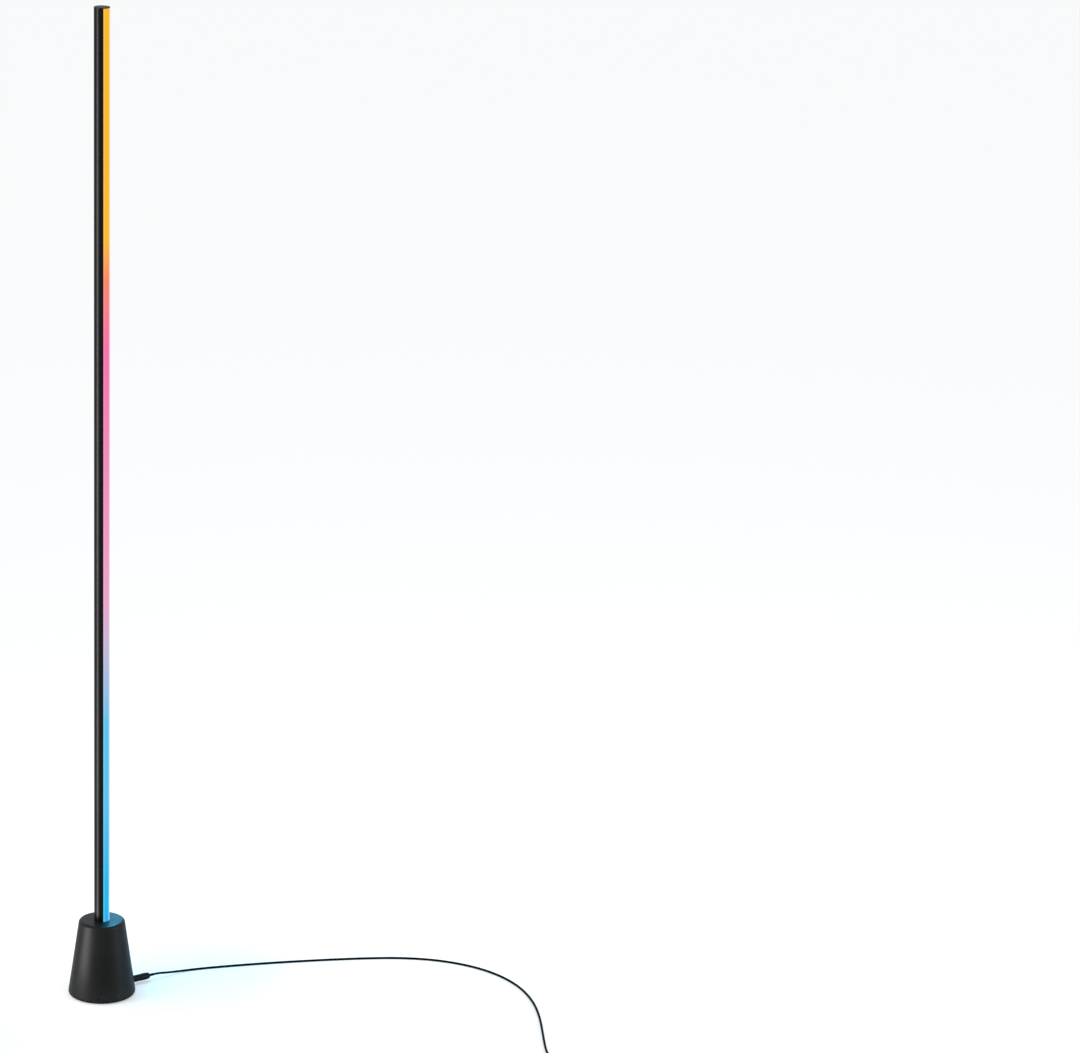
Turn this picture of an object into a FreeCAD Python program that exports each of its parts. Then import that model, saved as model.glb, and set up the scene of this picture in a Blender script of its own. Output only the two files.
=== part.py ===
import FreeCAD, Part
import math
import operator
import os
from types import SimpleNamespace

import Sketcher
from FreeCAD import Placement, Rotation, Vector

# A slim corner floor lamp: a round light bar, dark at the front and lit at the rear, standing in a
# tapered weighted base, with the low-voltage lead and the wall adapter that feed it.
# Frame: origin on the floor under the bar, +Z up, -Y the front, +Y the rear, where the lead
# plugs in. Lengths are in millimetres and angles in degrees.

DRIVING_SIZES = {
    # light bar
    "lamp_height": 1493.0,
    "bar_radius": 11.5,
    "bar_start": 60.0,
    "dark_half_angle": 70.2,
    "channel_wall": 1.5,
    "web_rear": -4.6,
    "web_thick": 1.5,
    "lip_thick": 0.6,
    "lip_height": 1.3,
    "lip_gap": 0.65,
    "hook_reach": 0.2,
    "diffuser_wall": 1.3,
    "foot_thick": 0.38,
    "cap_thick": 1.5,
    "cap_edge": 0.6,
    "spigot_length": 12.0,
    "strip_width": 10.0,
    "strip_thick": 1.0,
    "strip_start": 74.0,
    "led_side": 5.0,
    "led_height": 1.6,
    "led_start": 124.0,
    "led_pitch": 19.0,
    "led_count": 72,
    # base
    "base_height": 118.0,
    "base_gap": 0.8,
    "foot_radius": 50.7,
    "top_radius": 34.1,
    "top_fillet": 5.0,
    "foot_fillet": 4.0,
    "shell_wall": 2.6,
    "shell_top": 3.2,
    "rim_width": 6.2,
    "rim_height": 6.0,
    "bar_clearance": 0.2,
    "port_height": 9.4,
    "port_radius": 4.2,
    "port_recess_radius": 6.2,
    "port_face": 47.8,
    "boss_ring": 37.0,
    "boss_radius": 4.0,
    "boss_top": 20.0,
    "boss_rib": 3.0,
    "pad_radius": 41.5,
    "pad_thick": 2.0,
    "pad_hole": 5.0,
    "plate_radius": 44.2,
    "plate_thick": 1.6,
    "screw_head": 2.9,
    "screw_core": 1.4,
    "screw_length": 13.0,
    # counterweight and the bolt that holds the bar
    "weight_bottom": 24.0,
    "weight_shoulder_top": 100.0,
    "weight_gap": 0.5,
    "weight_neck_radius": 20.0,
    "bar_seat": 38.0,
    "bolt_seat": 30.0,
    "bolt_recess": 12.5,
    "bolt_radius": 2.95,
    "bolt_head_radius": 5.0,
    "bolt_head_height": 6.0,
    "bolt_key": 5.0,
    "bolt_reach": 18.0,
    "washer_radius": 6.4,
    "washer_thick": 1.2,
    "leg_ring": 31.0,
    "leg_radius": 5.0,
    "tongue_top": 100.0,
    "tongue_radius": 9.8,
    "tongue_front": -6.3,
    # electronics in the base
    "board_bottom": 8.0,
    "board_thick": 1.6,
    "board_half_width": 21.0,
    "board_front": -24.0,
    "board_rear": 14.0,
    "cable_y": 8.3,
    "cable_diameter": 3.2,
    "jack_half_width": 4.5,
    "jack_front": 30.0,
    "jack_rear": 43.4,
    "jack_top": 14.3,
    "jack_bore": 2.83,
    "jack_pin": 0.98,
    # lead and its plug
    "barrel_radius": 2.75,
    "barrel_bore": 1.06,
    "barrel_length": 9.5,
    "grip_radius": 5.4,
    "grip_end": 82.5,
    "relief_end": 90.5,
    "relief_root": 2.3,
    "relief_tip": 2.0,
    "cord_diameter": 3.5,
    # put-away coil
    "coil_outer": 24.5,
    "coil_pitch": 4.0,
    "coil_height": 2.65,
    "tie_width": 6.0,
    "tie_thick": 0.8,
    # adapter
    "adapter_length": 68.0,
    "adapter_width": 42.0,
    "adapter_height": 29.0,
    "adapter_wall": 2.2,
    "adapter_face_depth": 10.0,
    "adapter_edge": 5.0,
    "gland_length": 14.0,
    "pin_radius": 2.0,
    "pin_reach": 19.0,
    "pin_spacing": 18.6,
    "pin_sleeve": 10.0,
}

# The lead's route on the floor, from the plug to the coil, as (x, y, z).
LEAD_ROUTE = [
    (0, 90.5, 9.4),
    (0, 99.5, 9.3),
    (-0.7, 112, 7.0),
    (-2.3, 127, 4.4),
    (-2.5, 145, 2.5),
    (1.8, 168, 1.85),
    (13, 202.5, 1.85),
    (31.5, 253, 1.85),
    (52.5, 304.5, 1.85),
    (75, 355, 1.85),
    (101, 409, 1.85),
    (129.5, 458.5, 1.85),
    (166.5, 500.5, 1.85),
    (213.5, 531.5, 1.85),
    (266, 547, 1.85),
    (321, 546.5, 1.85),
    (376, 531, 1.85),
    (428, 505.5, 1.85),
    (479, 474, 1.85),
    (528.5, 443, 1.85),
    (558.8, 427.9, 2.65),
    (584.8, 412.9, 2.65),
]

# The coil starts where the lead ends, and faces the way that the lead arrives.
COIL_HEADING = -30.0
HALF_TURNS_IN = 6
HALF_TURNS_OUT = 7

# The tail runs from the coil to the adapter's gland, as (along, across, height) from the coil's
# end, in the direction that the cord leaves the coil.
TAIL_ROUTE = [
    (0, 0, 0),
    (15, 0, 0),
    (32, 5, 1.9),
    (46, 16, 4.9),
    (53, 32, 7.85),
    (53, 45, 7.85),
]

OPERATIONS = {"+": operator.add, "-": operator.sub, "*": operator.mul, "/": operator.truediv}


class Size:
    """A number together with the sheet formula that it comes from."""

    def __init__(self, value, text):
        self.value = float(value)
        self.text = text

    def __add__(self, other):
        return combined(self, "+", other)

    def __radd__(self, other):
        return combined(other, "+", self)

    def __sub__(self, other):
        return combined(self, "-", other)

    def __rsub__(self, other):
        return combined(other, "-", self)

    def __mul__(self, other):
        return combined(self, "*", other)

    def __rmul__(self, other):
        return combined(other, "*", self)

    def __truediv__(self, other):
        return combined(self, "/", other)

    def __neg__(self):
        return combined(0, "-", self)


def as_size(number):
    """A plain number as a Size."""
    return number if isinstance(number, Size) else Size(number, f"({float(number)!r})")


def combined(left, sign, right):
    """The Size that two numbers make with one sign between them."""
    left, right = as_size(left), as_size(right)
    return Size(OPERATIONS[sign](left.value, right.value), f"({left.text} {sign} {right.text})")


def sine(angle):
    angle = as_size(angle)
    return Size(math.sin(math.radians(angle.value)), f"sin({angle.text})")


def cosine(angle):
    angle = as_size(angle)
    return Size(math.cos(math.radians(angle.value)), f"cos({angle.text})")


def root(number):
    return Size(math.sqrt(number.value), f"sqrt({number.text})")


def fill_sheet(sheet):
    """Writes the driving sizes into the sheet and returns them by name."""
    named = SimpleNamespace()
    for row, (alias, value) in enumerate(DRIVING_SIZES.items(), start=1):
        sheet.set(f"A{row}", alias)
        sheet.set(f"B{row}", str(value))
        sheet.setAlias(f"B{row}", alias)
        setattr(named, alias, Size(value, f"Sizes.{alias}"))
    return named


document = FreeCAD.newDocument("corner_floor_lamp")
size_sheet = document.addObject("Spreadsheet::Sheet", "Sizes")
s = fill_sheet(size_sheet)
document.recompute()


# ---------------------------------------------------------------- sketches and features


class Outline:
    """A sketch on one of its body's origin planes, whose corners follow formulas of the sheet."""

    def __init__(self, body, plane, offset=(0, 0, 0), turn=0):
        self.sketch = body.newObject("Sketcher::SketchObject", f"{body.Label}_outline")
        origin_plane = next(p for p in body.Origin.OriginFeatures if p.Role == plane)
        self.sketch.AttachmentSupport = [(origin_plane, "")]
        self.sketch.MapMode = "FlatFace"
        self.sketch.AttachmentOffset = Placement(Vector(), Rotation(Vector(0, 0, 1), turn))
        for axis, distance in zip("xyz", offset):
            if isinstance(distance, Size) or distance:
                path = f".AttachmentOffset.Base.{axis}"
                self.sketch.setExpression(path, as_size(distance).text)

    def bind(self, constraint, size):
        """Adds a constraint whose value follows a formula."""
        number = self.sketch.addConstraint(constraint)
        self.sketch.renameConstraint(number, f"size{number}")
        self.sketch.setExpression(f"Constraints.size{number}", size.text)

    def place(self, geometry, end, x, y):
        """Puts one end of a line or arc, or a circle's centre, at (x, y); None leaves one free."""
        if x is not None:
            self.place_along(geometry, end, "DistanceX", as_size(x), -2)
        if y is not None:
            self.place_along(geometry, end, "DistanceY", as_size(y), -1)

    def place_along(self, geometry, end, kind, size, axis):
        if size.value == 0:
            self.sketch.addConstraint(Sketcher.Constraint("PointOnObject", geometry, end, axis))
        else:
            self.bind(Sketcher.Constraint(kind, -1, 1, geometry, end, size.value), size)

    def circle(self, x, y, radius):
        """A full circle."""
        x, y, radius = as_size(x), as_size(y), as_size(radius)
        circle = Part.Circle(Vector(x.value, y.value, 0), Vector(0, 0, 1), radius.value)
        number = self.sketch.addGeometry(circle, False)
        self.bind(Sketcher.Constraint("Radius", number, radius.value), radius)
        self.place(number, 3, x, y)
        return self

    def loop(self, corners, arcs=None):
        """A closed run through the corners. arcs maps a corner's number to the radius of an arc
        about the sketch's origin that runs from it to the next corner: a positive radius turns
        left, a negative one right. A corner where an arc ends keeps only its x bound."""
        arcs = arcs or {}
        count = len(corners)
        points = [Vector(as_size(x).value, as_size(y).value, 0) for x, y in corners]
        first = len(self.sketch.Geometry)
        for i, point in enumerate(points):
            after = points[(i + 1) % count]
            if i in arcs:
                self.sketch.addGeometry(self.arc(point, after, arcs[i]), False)
            else:
                self.sketch.addGeometry(Part.LineSegment(point, after), False)
        for i in range(count):
            following = (i + 1) % count
            leaves = 1 if i in arcs and arcs[i].value < 0 else 2
            enters = 2 if following in arcs and arcs[following].value < 0 else 1
            joint = Sketcher.Constraint("Coincident", first + i, leaves, first + following, enters)
            self.sketch.addConstraint(joint)
        for i, (x, y) in enumerate(corners):
            end = 2 if i in arcs and arcs[i].value < 0 else 1
            on_arc = i in arcs or (i - 1) % count in arcs
            self.place(first + i, end, x, None if on_arc else y)
        for i, radius in arcs.items():
            self.sketch.addConstraint(Sketcher.Constraint("Coincident", first + i, 3, -1, 1))
            reach = radius if radius.value > 0 else -radius
            self.bind(Sketcher.Constraint("Radius", first + i, reach.value), reach)
        return self

    @staticmethod
    def arc(start, end, radius):
        """An arc about the origin; its own direction is always to the left."""
        if radius.value < 0:
            start, end = end, start
        angles = [math.atan2(point.y, point.x) for point in (start, end)]
        if angles[1] < angles[0]:
            angles[1] += 2 * math.pi
        whole = Part.Circle(Vector(), Vector(0, 0, 1), abs(radius.value))
        return Part.ArcOfCircle(whole, *angles)

    def box(self, x_low, x_high, y_low, y_high):
        """A rectangle between two pairs of coordinates."""
        corners = [(x_low, y_low), (x_high, y_low), (x_high, y_high), (x_low, y_high)]
        return self.loop(corners)


def new_body(label):
    body = document.addObject("PartDesign::Body", label)
    body.Label = label
    return body


def feature(body, kind, **settings):
    """Adds a PartDesign feature and makes it the body's tip. Sizes become expressions."""
    added = body.newObject(f"PartDesign::{kind}", f"{body.Label}_{kind.lower()}")
    for name, value in settings.items():
        if isinstance(value, Size):
            added.setExpression(name, value.text)
        else:
            setattr(added, name, value)
    body.Tip = added
    return added


def pad(body, outline, length, **settings):
    return feature(body, "Pad", Profile=outline.sketch, Length=as_size(length), **settings)


def pocket(body, outline, length, **settings):
    return feature(body, "Pocket", Profile=outline.sketch, Length=as_size(length), **settings)


def revolve(body, outline, axis="V_Axis"):
    return feature(body, "Revolution", Profile=outline.sketch, ReferenceAxis=(outline.sketch, [axis]))


def groove(body, outline, axis="H_Axis"):
    return feature(body, "Groove", Profile=outline.sketch, ReferenceAxis=(outline.sketch, [axis]))


def around(body, originals, count):
    """Repeats features evenly about the body's own Z axis."""
    axis = next(a for a in body.Origin.OriginFeatures if a.Role == "Z_Axis")
    settings = {"Originals": originals, "Axis": (axis, [""]), "Angle": 360.0, "Occurrences": count}
    return feature(body, "PolarPattern", **settings)


def along(body, originals, role, length, count):
    """Repeats features evenly along one of the body's own axes."""
    axis = next(a for a in body.Origin.OriginFeatures if a.Role == role)
    pattern = feature(body, "LinearPattern", Originals=originals, Direction=(axis, [""]))
    pattern.setExpression("Length", as_size(length).text)
    pattern.setExpression("Occurrences", as_size(count).text)
    return pattern


def edges_where(body, test):
    """The names of the edges of the body's shape so far that pass a test."""
    document.recompute()
    edges = body.Tip.Shape.Edges
    return [f"Edge{i}" for i, edge in enumerate(edges, start=1) if test(edge)]


def ring_at(radius, height, axis="z", centre=(0.0, 0.0)):
    """A test for a round edge of one radius, at one height along an axis."""
    others = [a for a in "xyz" if a != axis]

    def test(edge):
        if not isinstance(edge.Curve, Part.Circle):
            return False
        middle = edge.Curve.Center
        return (
            abs(edge.Curve.Radius - radius) < 0.02
            and abs(getattr(middle, axis) - height) < 0.02
            and math.hypot(*(getattr(middle, a) - c for a, c in zip(others, centre))) < 0.02
        )

    return test


def fillet(body, test, radius):
    edges = edges_where(body, test)
    return feature(body, "Fillet", Base=(body.Tip, edges), Radius=as_size(radius))


def chamfer(body, test, size):
    edges = edges_where(body, test)
    return feature(body, "Chamfer", Base=(body.Tip, edges), Size=as_size(size))


def block(label, x_low, x_high, y_low, y_high, z_low, z_high):
    """A plain rectangular piece between two corners."""
    made = document.addObject("Part::Box", label)
    made.Label = label
    for name, axis, low, high in (
        ("Length", "x", x_low, x_high),
        ("Width", "y", y_low, y_high),
        ("Height", "z", z_low, z_high),
    ):
        made.setExpression(name, (as_size(high) - low).text)
        made.setExpression(f".Placement.Base.{axis}", as_size(low).text)
    return made


def rod(label, x, y, z_low, z_high, radius):
    """A plain upright round piece."""
    made = document.addObject("Part::Cylinder", label)
    made.Label = label
    made.setExpression("Radius", as_size(radius).text)
    made.setExpression("Height", (as_size(z_high) - z_low).text)
    for axis, place in zip("xyz", (x, y, z_low)):
        made.setExpression(f".Placement.Base.{axis}", as_size(place).text)
    return made


# ---------------------------------------------------------------- shared sizes

base_slope = (s.foot_radius - s.top_radius) / (s.base_height - s.base_gap)


def base_radius_at(height):
    """The outside radius of the tapered base, before its edges are rounded."""
    return s.foot_radius - base_slope * (as_size(height) - s.base_gap)


plate_bottom = s.pad_thick
plate_top = plate_bottom + s.plate_thick
shell_ceiling = s.base_height - s.shell_top
bar_hole = s.bar_radius + s.bar_clearance
bar_top = s.lamp_height - s.cap_thick
web_front = s.web_rear - s.web_thick
channel_inner = s.bar_radius - s.channel_wall
diffuser_inner = s.bar_radius - s.diffuser_wall
board_top = s.board_bottom + s.board_thick


# ---------------------------------------------------------------- base


def make_base_shell():
    """Tapered shell with a thick foot rim, four screw bosses and the port for the lead."""
    body = new_body("base_shell")
    wall = s.shell_wall
    rim_inner = s.foot_radius - s.rim_width
    profile = [
        (s.foot_radius, s.base_gap),
        (s.top_radius, s.base_height),
        (bar_hole, s.base_height),
        (bar_hole, shell_ceiling),
        (base_radius_at(shell_ceiling) - wall, shell_ceiling),
        (base_radius_at(s.rim_height + 2) - wall, s.rim_height + 2),
        (rim_inner, s.rim_height),
        (rim_inner, s.base_gap),
    ]
    revolve(body, Outline(body, "XZ_Plane").loop(profile))
    fillet(body, ring_at(s.top_radius.value, s.base_height.value), s.top_fillet)
    fillet(body, ring_at(s.foot_radius.value, s.base_gap.value), s.foot_fillet)
    add_screw_bosses(body)
    recess = Outline(body, "XZ_Plane", (0, 0, -s.port_face))
    pocket(body, recess.circle(0, s.port_height, s.port_recess_radius), 10)
    port = Outline(body, "XZ_Plane", (0, 0, -s.jack_front))
    pocket(body, port.circle(0, s.port_height, s.port_radius), 30)
    return body


def add_screw_bosses(body):
    """Four bosses on ribs inside the wall, each with a pilot hole for a screw."""
    height = s.boss_top - plate_top
    level = (0, 0, plate_top)
    half_rib = s.boss_rib / 2
    rib_end = base_radius_at(s.boss_top) - s.shell_wall + 0.4
    boss = pad(body, Outline(body, "XY_Plane", level, 45).circle(s.boss_ring, 0, s.boss_radius), height)
    rib_outline = Outline(body, "XY_Plane", level, 45)
    rib = pad(body, rib_outline.box(s.boss_ring, rib_end, -half_rib, half_rib), height)
    hole_outline = Outline(body, "XY_Plane", level, 45)
    hole_outline.circle(s.boss_ring, 0, s.screw_core + 0.05)
    hole = pocket(body, hole_outline, s.screw_length, Reversed=True)
    around(body, [boss, rib, hole], 4)


def make_counterweight():
    """Iron casting that fills the base, with a bore for the bar and three legs on the plate."""
    body = new_body("counterweight")
    inset = s.shell_wall + s.weight_gap
    profile = [
        (s.bolt_recess, s.weight_bottom),
        (base_radius_at(s.weight_bottom) - inset, s.weight_bottom),
        (base_radius_at(s.weight_shoulder_top) - inset, s.weight_shoulder_top),
        (s.weight_neck_radius, s.weight_shoulder_top),
        (s.weight_neck_radius, shell_ceiling),
        (bar_hole, shell_ceiling),
        (bar_hole, s.bar_seat),
        (s.bolt_radius + 0.35, s.bar_seat),
        (s.bolt_radius + 0.35, s.bolt_seat),
        (s.bolt_recess, s.bolt_seat),
    ]
    revolve(body, Outline(body, "XZ_Plane").loop(profile))
    shoulder = (base_radius_at(s.weight_shoulder_top) - inset).value
    fillet(body, ring_at(shoulder, s.weight_shoulder_top.value), 4)
    fillet(body, ring_at(s.weight_neck_radius.value, s.weight_shoulder_top.value), 5)
    legs = Outline(body, "XY_Plane", (0, 0, plate_top), -90)
    legs.circle(s.leg_ring, 0, s.leg_radius)
    leg = pad(body, legs, s.weight_bottom - plate_top + 1)
    around(body, [leg], 3)
    cable_way = Outline(body, "XY_Plane", (0, 0, s.bolt_seat - 1))
    cable_way.circle(0, s.cable_y, s.cable_diameter / 2 + 0.7)
    pocket(body, cable_way, s.bar_seat - s.bolt_seat + 2, Reversed=True)
    return body


def make_bottom_plate():
    """Steel closing plate with four countersunk screw holes."""
    body = new_body("bottom_plate")
    pad(body, Outline(body, "XY_Plane", (0, 0, plate_bottom)).circle(0, 0, s.plate_radius), s.plate_thick)
    hole_outline = Outline(body, "XZ_Plane", (s.boss_ring, 0, 0))
    shank = s.screw_core + 0.5
    sunk = s.screw_head + 0.1
    profile = [
        (0, plate_bottom - 1),
        (sunk + 1, plate_bottom - 1),
        (shank, plate_bottom + sunk - shank),
        (shank, plate_top + 1),
        (0, plate_top + 1),
    ]
    hole = groove(body, hole_outline.loop(profile), "V_Axis")
    around(body, [hole], 4)
    body.Placement.Rotation = Rotation(Vector(0, 0, 1), 45)
    return body


def make_foot_pad():
    """Soft pad under the plate, with openings for the screws. The lamp rests on it."""
    body = new_body("foot_pad")
    pad(body, Outline(body, "XY_Plane").circle(0, 0, s.pad_radius), s.pad_thick)
    chamfer(body, ring_at(s.pad_radius.value, 0.0), 0.4)
    holes = Outline(body, "XY_Plane")
    hole = pocket(body, holes.circle(s.boss_ring, 0, s.pad_hole / 2 + 1.2), s.pad_thick, Reversed=True)
    around(body, [hole], 4)
    body.Placement.Rotation = Rotation(Vector(0, 0, 1), 45)
    return body


def make_plate_screws():
    """Four countersunk screws that hold the plate to the shell's bosses."""
    body = new_body("plate_screws")
    profile = [
        (0, plate_bottom),
        (s.screw_head, plate_bottom),
        (s.screw_core, plate_bottom + s.screw_head - s.screw_core),
        (s.screw_core, plate_bottom + s.screw_length - 1),
        (s.screw_core - 0.8, plate_bottom + s.screw_length),
        (0, plate_bottom + s.screw_length),
    ]
    screw = revolve(body, Outline(body, "XZ_Plane", (s.boss_ring, 0, 0)).loop(profile))
    recess = pocket(body, cross_outline(body, s.boss_ring, 1.5, 0.35), 1.3, Reversed=True)
    around(body, [screw, recess], 4)
    body.Placement.Rotation = Rotation(Vector(0, 0, 1), 45)
    return body


def cross_outline(body, x, reach, half):
    """A cross for a screwdriver, at the level of the plate's underside."""
    quarter_turn = [(reach, -half), (reach, half), (half, half)]
    corners = []
    for _ in range(4):
        corners += [(x + a, b) for a, b in quarter_turn]
        quarter_turn = [(-b, a) for a, b in quarter_turn]
    return Outline(body, "XY_Plane", (0, 0, plate_bottom)).loop(corners)


# ---------------------------------------------------------------- fixing of the bar


def make_bar_bolt():
    """Long bolt with a hexagon socket that pulls the bar down onto the counterweight."""
    body = new_body("bar_bolt")
    head_top = s.bolt_seat - s.washer_thick
    head_bottom = head_top - s.bolt_head_height
    shank_top = s.bar_seat + s.bolt_reach
    profile = [
        (0, head_bottom),
        (s.bolt_head_radius, head_bottom),
        (s.bolt_head_radius, head_top),
        (s.bolt_radius, head_top),
        (s.bolt_radius, shank_top - 1),
        (s.bolt_radius - 1, shank_top),
        (0, shank_top),
    ]
    revolve(body, Outline(body, "XZ_Plane").loop(profile))
    reach = s.bolt_key / (2 * math.cos(math.pi / 6))
    corners = [(reach * cosine(60 * i + 30), reach * sine(60 * i + 30)) for i in range(6)]
    key_outline = Outline(body, "XY_Plane", (0, 0, head_bottom)).loop(corners)
    pocket(body, key_outline, s.bolt_head_height / 2, Reversed=True)
    return body


def make_bolt_washer():
    body = new_body("bolt_washer")
    outline = Outline(body, "XY_Plane", (0, 0, s.bolt_seat - s.washer_thick))
    outline.circle(0, 0, s.washer_radius).circle(0, 0, s.bolt_radius + 0.25)
    pad(body, outline, s.washer_thick)
    return body


def make_bar_foot():
    """Cast foot under the bar: a round stub, and a tongue that goes up inside the channel."""
    body = new_body("bar_foot")
    stub = Outline(body, "XY_Plane", (0, 0, s.bar_seat)).circle(0, 0, s.bar_radius - 0.2)
    pad(body, stub, s.bar_start - s.bar_seat)
    half = root(s.tongue_radius * s.tongue_radius - s.tongue_front * s.tongue_front)
    corners = [(half, s.tongue_front), (-half, s.tongue_front)]
    tongue = Outline(body, "XY_Plane", (0, 0, s.bar_start - 1))
    tongue.loop(corners, {1: s.tongue_radius})
    pad(body, tongue, s.tongue_top - s.bar_start + 1)
    thread = Outline(body, "XY_Plane", (0, 0, s.bar_seat)).circle(0, 0, s.bolt_radius + 0.05)
    pocket(body, thread, s.bolt_reach + 1, Reversed=True)
    slot_half = s.cable_diameter / 2 + 0.5
    slot = Outline(body, "XY_Plane", (0, 0, s.bar_seat - 1))
    slot.box(-slot_half, slot_half, s.cable_y - slot_half, s.bar_radius + 1)
    pocket(body, slot, s.bar_start - s.bar_seat + 2, Reversed=True)
    hole = pocket(body, foot_screw_line(body).circle(0, 0, 1.25), 5)
    along(body, [hole], "Z_Axis", foot_screw_step, 2)
    return body


foot_screw_step = (s.tongue_top - s.bar_start) / 2
foot_screw_first = s.bar_start + foot_screw_step / 2


def foot_screw_line(body):
    """A sketch in front of the tongue, at the height of the first foot screw."""
    return Outline(body, "XZ_Plane", (0, foot_screw_first, s.tongue_radius + 0.5))


def foot_screw_profile(head, core, tip):
    """Half of a countersunk screw, or of its hole, as (distance from the front, radius)."""
    front = -s.bar_radius
    taper = head - core
    return [(front, 0), (front, head), (front + taper, core), (tip, core), (tip, 0)]


def make_foot_screws():
    """Two small countersunk screws through the channel's front wall into the tongue."""
    body = new_body("foot_screws")
    profile = foot_screw_profile(as_size(2.2), as_size(1.2), -s.bar_radius + 5)
    screw = revolve(body, Outline(body, "YZ_Plane", (0, foot_screw_first, 0)).loop(profile), "H_Axis")
    along(body, [screw], "Z_Axis", foot_screw_step, 2)
    return body


# ---------------------------------------------------------------- light bar


def make_light_channel():
    """Dark extrusion: a front arc closed by a web, with a snap groove at each side of the web."""
    body = new_body("light_channel")
    radius = s.bar_radius
    across, down = sine(s.dark_half_angle), -cosine(s.dark_half_angle)
    inner = channel_inner
    groove_outer = s.lip_gap
    lip_outer = root(inner * inner - s.web_rear * s.web_rear) - groove_outer
    lip_inner = lip_outer - s.lip_thick
    lip_top = s.web_rear + s.lip_height
    hook_level = lip_top - 0.35
    right_side = [
        (radius * across, radius * down),
        (inner * across, inner * down),
        (lip_outer + groove_outer, s.web_rear),
        (lip_outer, s.web_rear),
        (lip_outer, hook_level - s.hook_reach),
        (lip_outer + s.hook_reach, hook_level),
        (lip_outer, lip_top),
        (lip_inner, lip_top),
        (lip_inner, s.web_rear),
    ]
    left_side = [(-x, y) for x, y in reversed(right_side)]
    corners = right_side + left_side
    outline = Outline(body, "XY_Plane", (0, 0, s.bar_start))
    outline.loop(corners, {len(corners) - 1: radius})
    half = root(inner * inner - web_front * web_front)
    outline.loop([(half, web_front), (-half, web_front)], {1: inner})
    pad(body, outline, bar_top - s.bar_start)
    hole_outline = Outline(body, "YZ_Plane", (0, foot_screw_first, 0))
    profile = foot_screw_profile(as_size(2.3), as_size(1.3), web_front - 1)
    profile[0] = (profile[0][0] - 0.5, 0)
    profile[1] = (profile[1][0] - 0.5, profile[1][1] + 0.5)
    hole = groove(body, hole_outline.loop(profile))
    along(body, [hole], "Z_Axis", foot_screw_step, 2)
    return body


def make_diffuser():
    """Opal cover that closes the rear of the bar, with a snap foot along each edge."""
    body = new_body("diffuser")
    radius, inner = s.bar_radius, diffuser_inner
    across, down = sine(s.dark_half_angle), -cosine(s.dark_half_angle)
    groove_edge = root(channel_inner * channel_inner - s.web_rear * s.web_rear)
    foot_outer = groove_edge - 0.06
    foot_inner = foot_outer - s.foot_thick
    foot_bottom = s.web_rear + 0.1
    barb_level = s.web_rear + s.lip_height - 0.35 - s.hook_reach
    seat = channel_inner * across
    right_side = [
        (foot_inner - 0.15, barb_level - 0.1),
        (foot_inner, foot_bottom),
        (foot_outer, foot_bottom),
        (seat, channel_inner * down),
        (radius * across, radius * down),
    ]
    left_side = [(-x, y) for x, y in reversed(right_side)]
    shoulder_low, shoulder_high = s.web_rear + s.lip_height + 0.3, s.web_rear + s.lip_height + 1
    shoulder = root(inner * inner - shoulder_high * shoulder_high)
    inside = [(foot_inner, barb_level - 0.1), (foot_inner, shoulder_low), (shoulder, shoulder_high)]
    corners = right_side + left_side
    corners += [(-x, y) for x, y in inside] + inside[::-1]
    outline = Outline(body, "XY_Plane", (0, 0, s.bar_start))
    arcs = {len(right_side) - 1: radius, len(corners) - 4: -inner}
    outline.loop(corners, arcs)
    pad(body, outline, bar_top - s.bar_start)
    return body


def make_top_cap():
    """Thin end cap with a tongue that presses into the channel."""
    body = new_body("top_cap")
    disc = Outline(body, "XY_Plane", (0, 0, bar_top)).circle(0, 0, s.bar_radius)
    pad(body, disc, s.cap_thick)
    fillet(body, ring_at(s.bar_radius.value, s.lamp_height.value), s.cap_edge)
    half = root(s.tongue_radius * s.tongue_radius - s.tongue_front * s.tongue_front)
    spigot = Outline(body, "XY_Plane", (0, 0, bar_top - s.spigot_length))
    spigot.loop([(half, s.tongue_front), (-half, s.tongue_front)], {1: s.tongue_radius})
    pad(body, spigot, s.spigot_length + 0.5)
    return body


def make_led_strip():
    strip_top = bar_top - 3
    half = s.strip_width / 2
    return block(
        "led_strip", -half, half, s.web_rear, s.web_rear + s.strip_thick, s.strip_start, strip_top
    )


def make_led_chips():
    """The row of light-emitting packages, each with a shallow round window."""
    body = new_body("led_chips")
    face = s.web_rear + s.strip_thick
    half = s.led_side / 2
    outline = Outline(body, "XZ_Plane", (0, s.led_start, -face))
    chip = pad(body, outline.box(-half, half, -half, half), s.led_height, Reversed=True)
    along(body, [chip], "Z_Axis", s.led_pitch * (s.led_count - 1), s.led_count)
    return body


# ---------------------------------------------------------------- electronics in the base


def make_board_parts():
    """Control board on four posts, with its radio module, capacitor, choke and cable socket."""
    width, front, rear = s.board_half_width, s.board_front, s.board_rear
    parts = [block("control_board", -width, width, front, rear, s.board_bottom, board_top)]
    parts.append(make_board_posts())
    parts.append(make_radio_module())
    parts.append(rod("capacitor", 13, -14, board_top, board_top + 10, 4))
    parts.append(block("choke_coil", 8, 17, -6, 3, board_top, board_top + 4.5))
    socket_y = s.cable_y
    parts.append(
        block("cable_socket", -5, 5, socket_y - 2.8, socket_y + 2.8, board_top, board_top + 6)
    )
    return parts


def make_board_posts():
    """Four short posts that hold the board off the plate."""
    body = new_body("board_posts")
    outline = Outline(body, "XY_Plane", (0, 0, plate_top))
    for x in (-s.board_half_width + 3.5, s.board_half_width - 3.5):
        for y in (s.board_front + 3.5, s.board_rear - 3.5):
            outline.circle(x, y, 2.2)
    pad(body, outline, s.board_bottom - plate_top)
    return body


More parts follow.
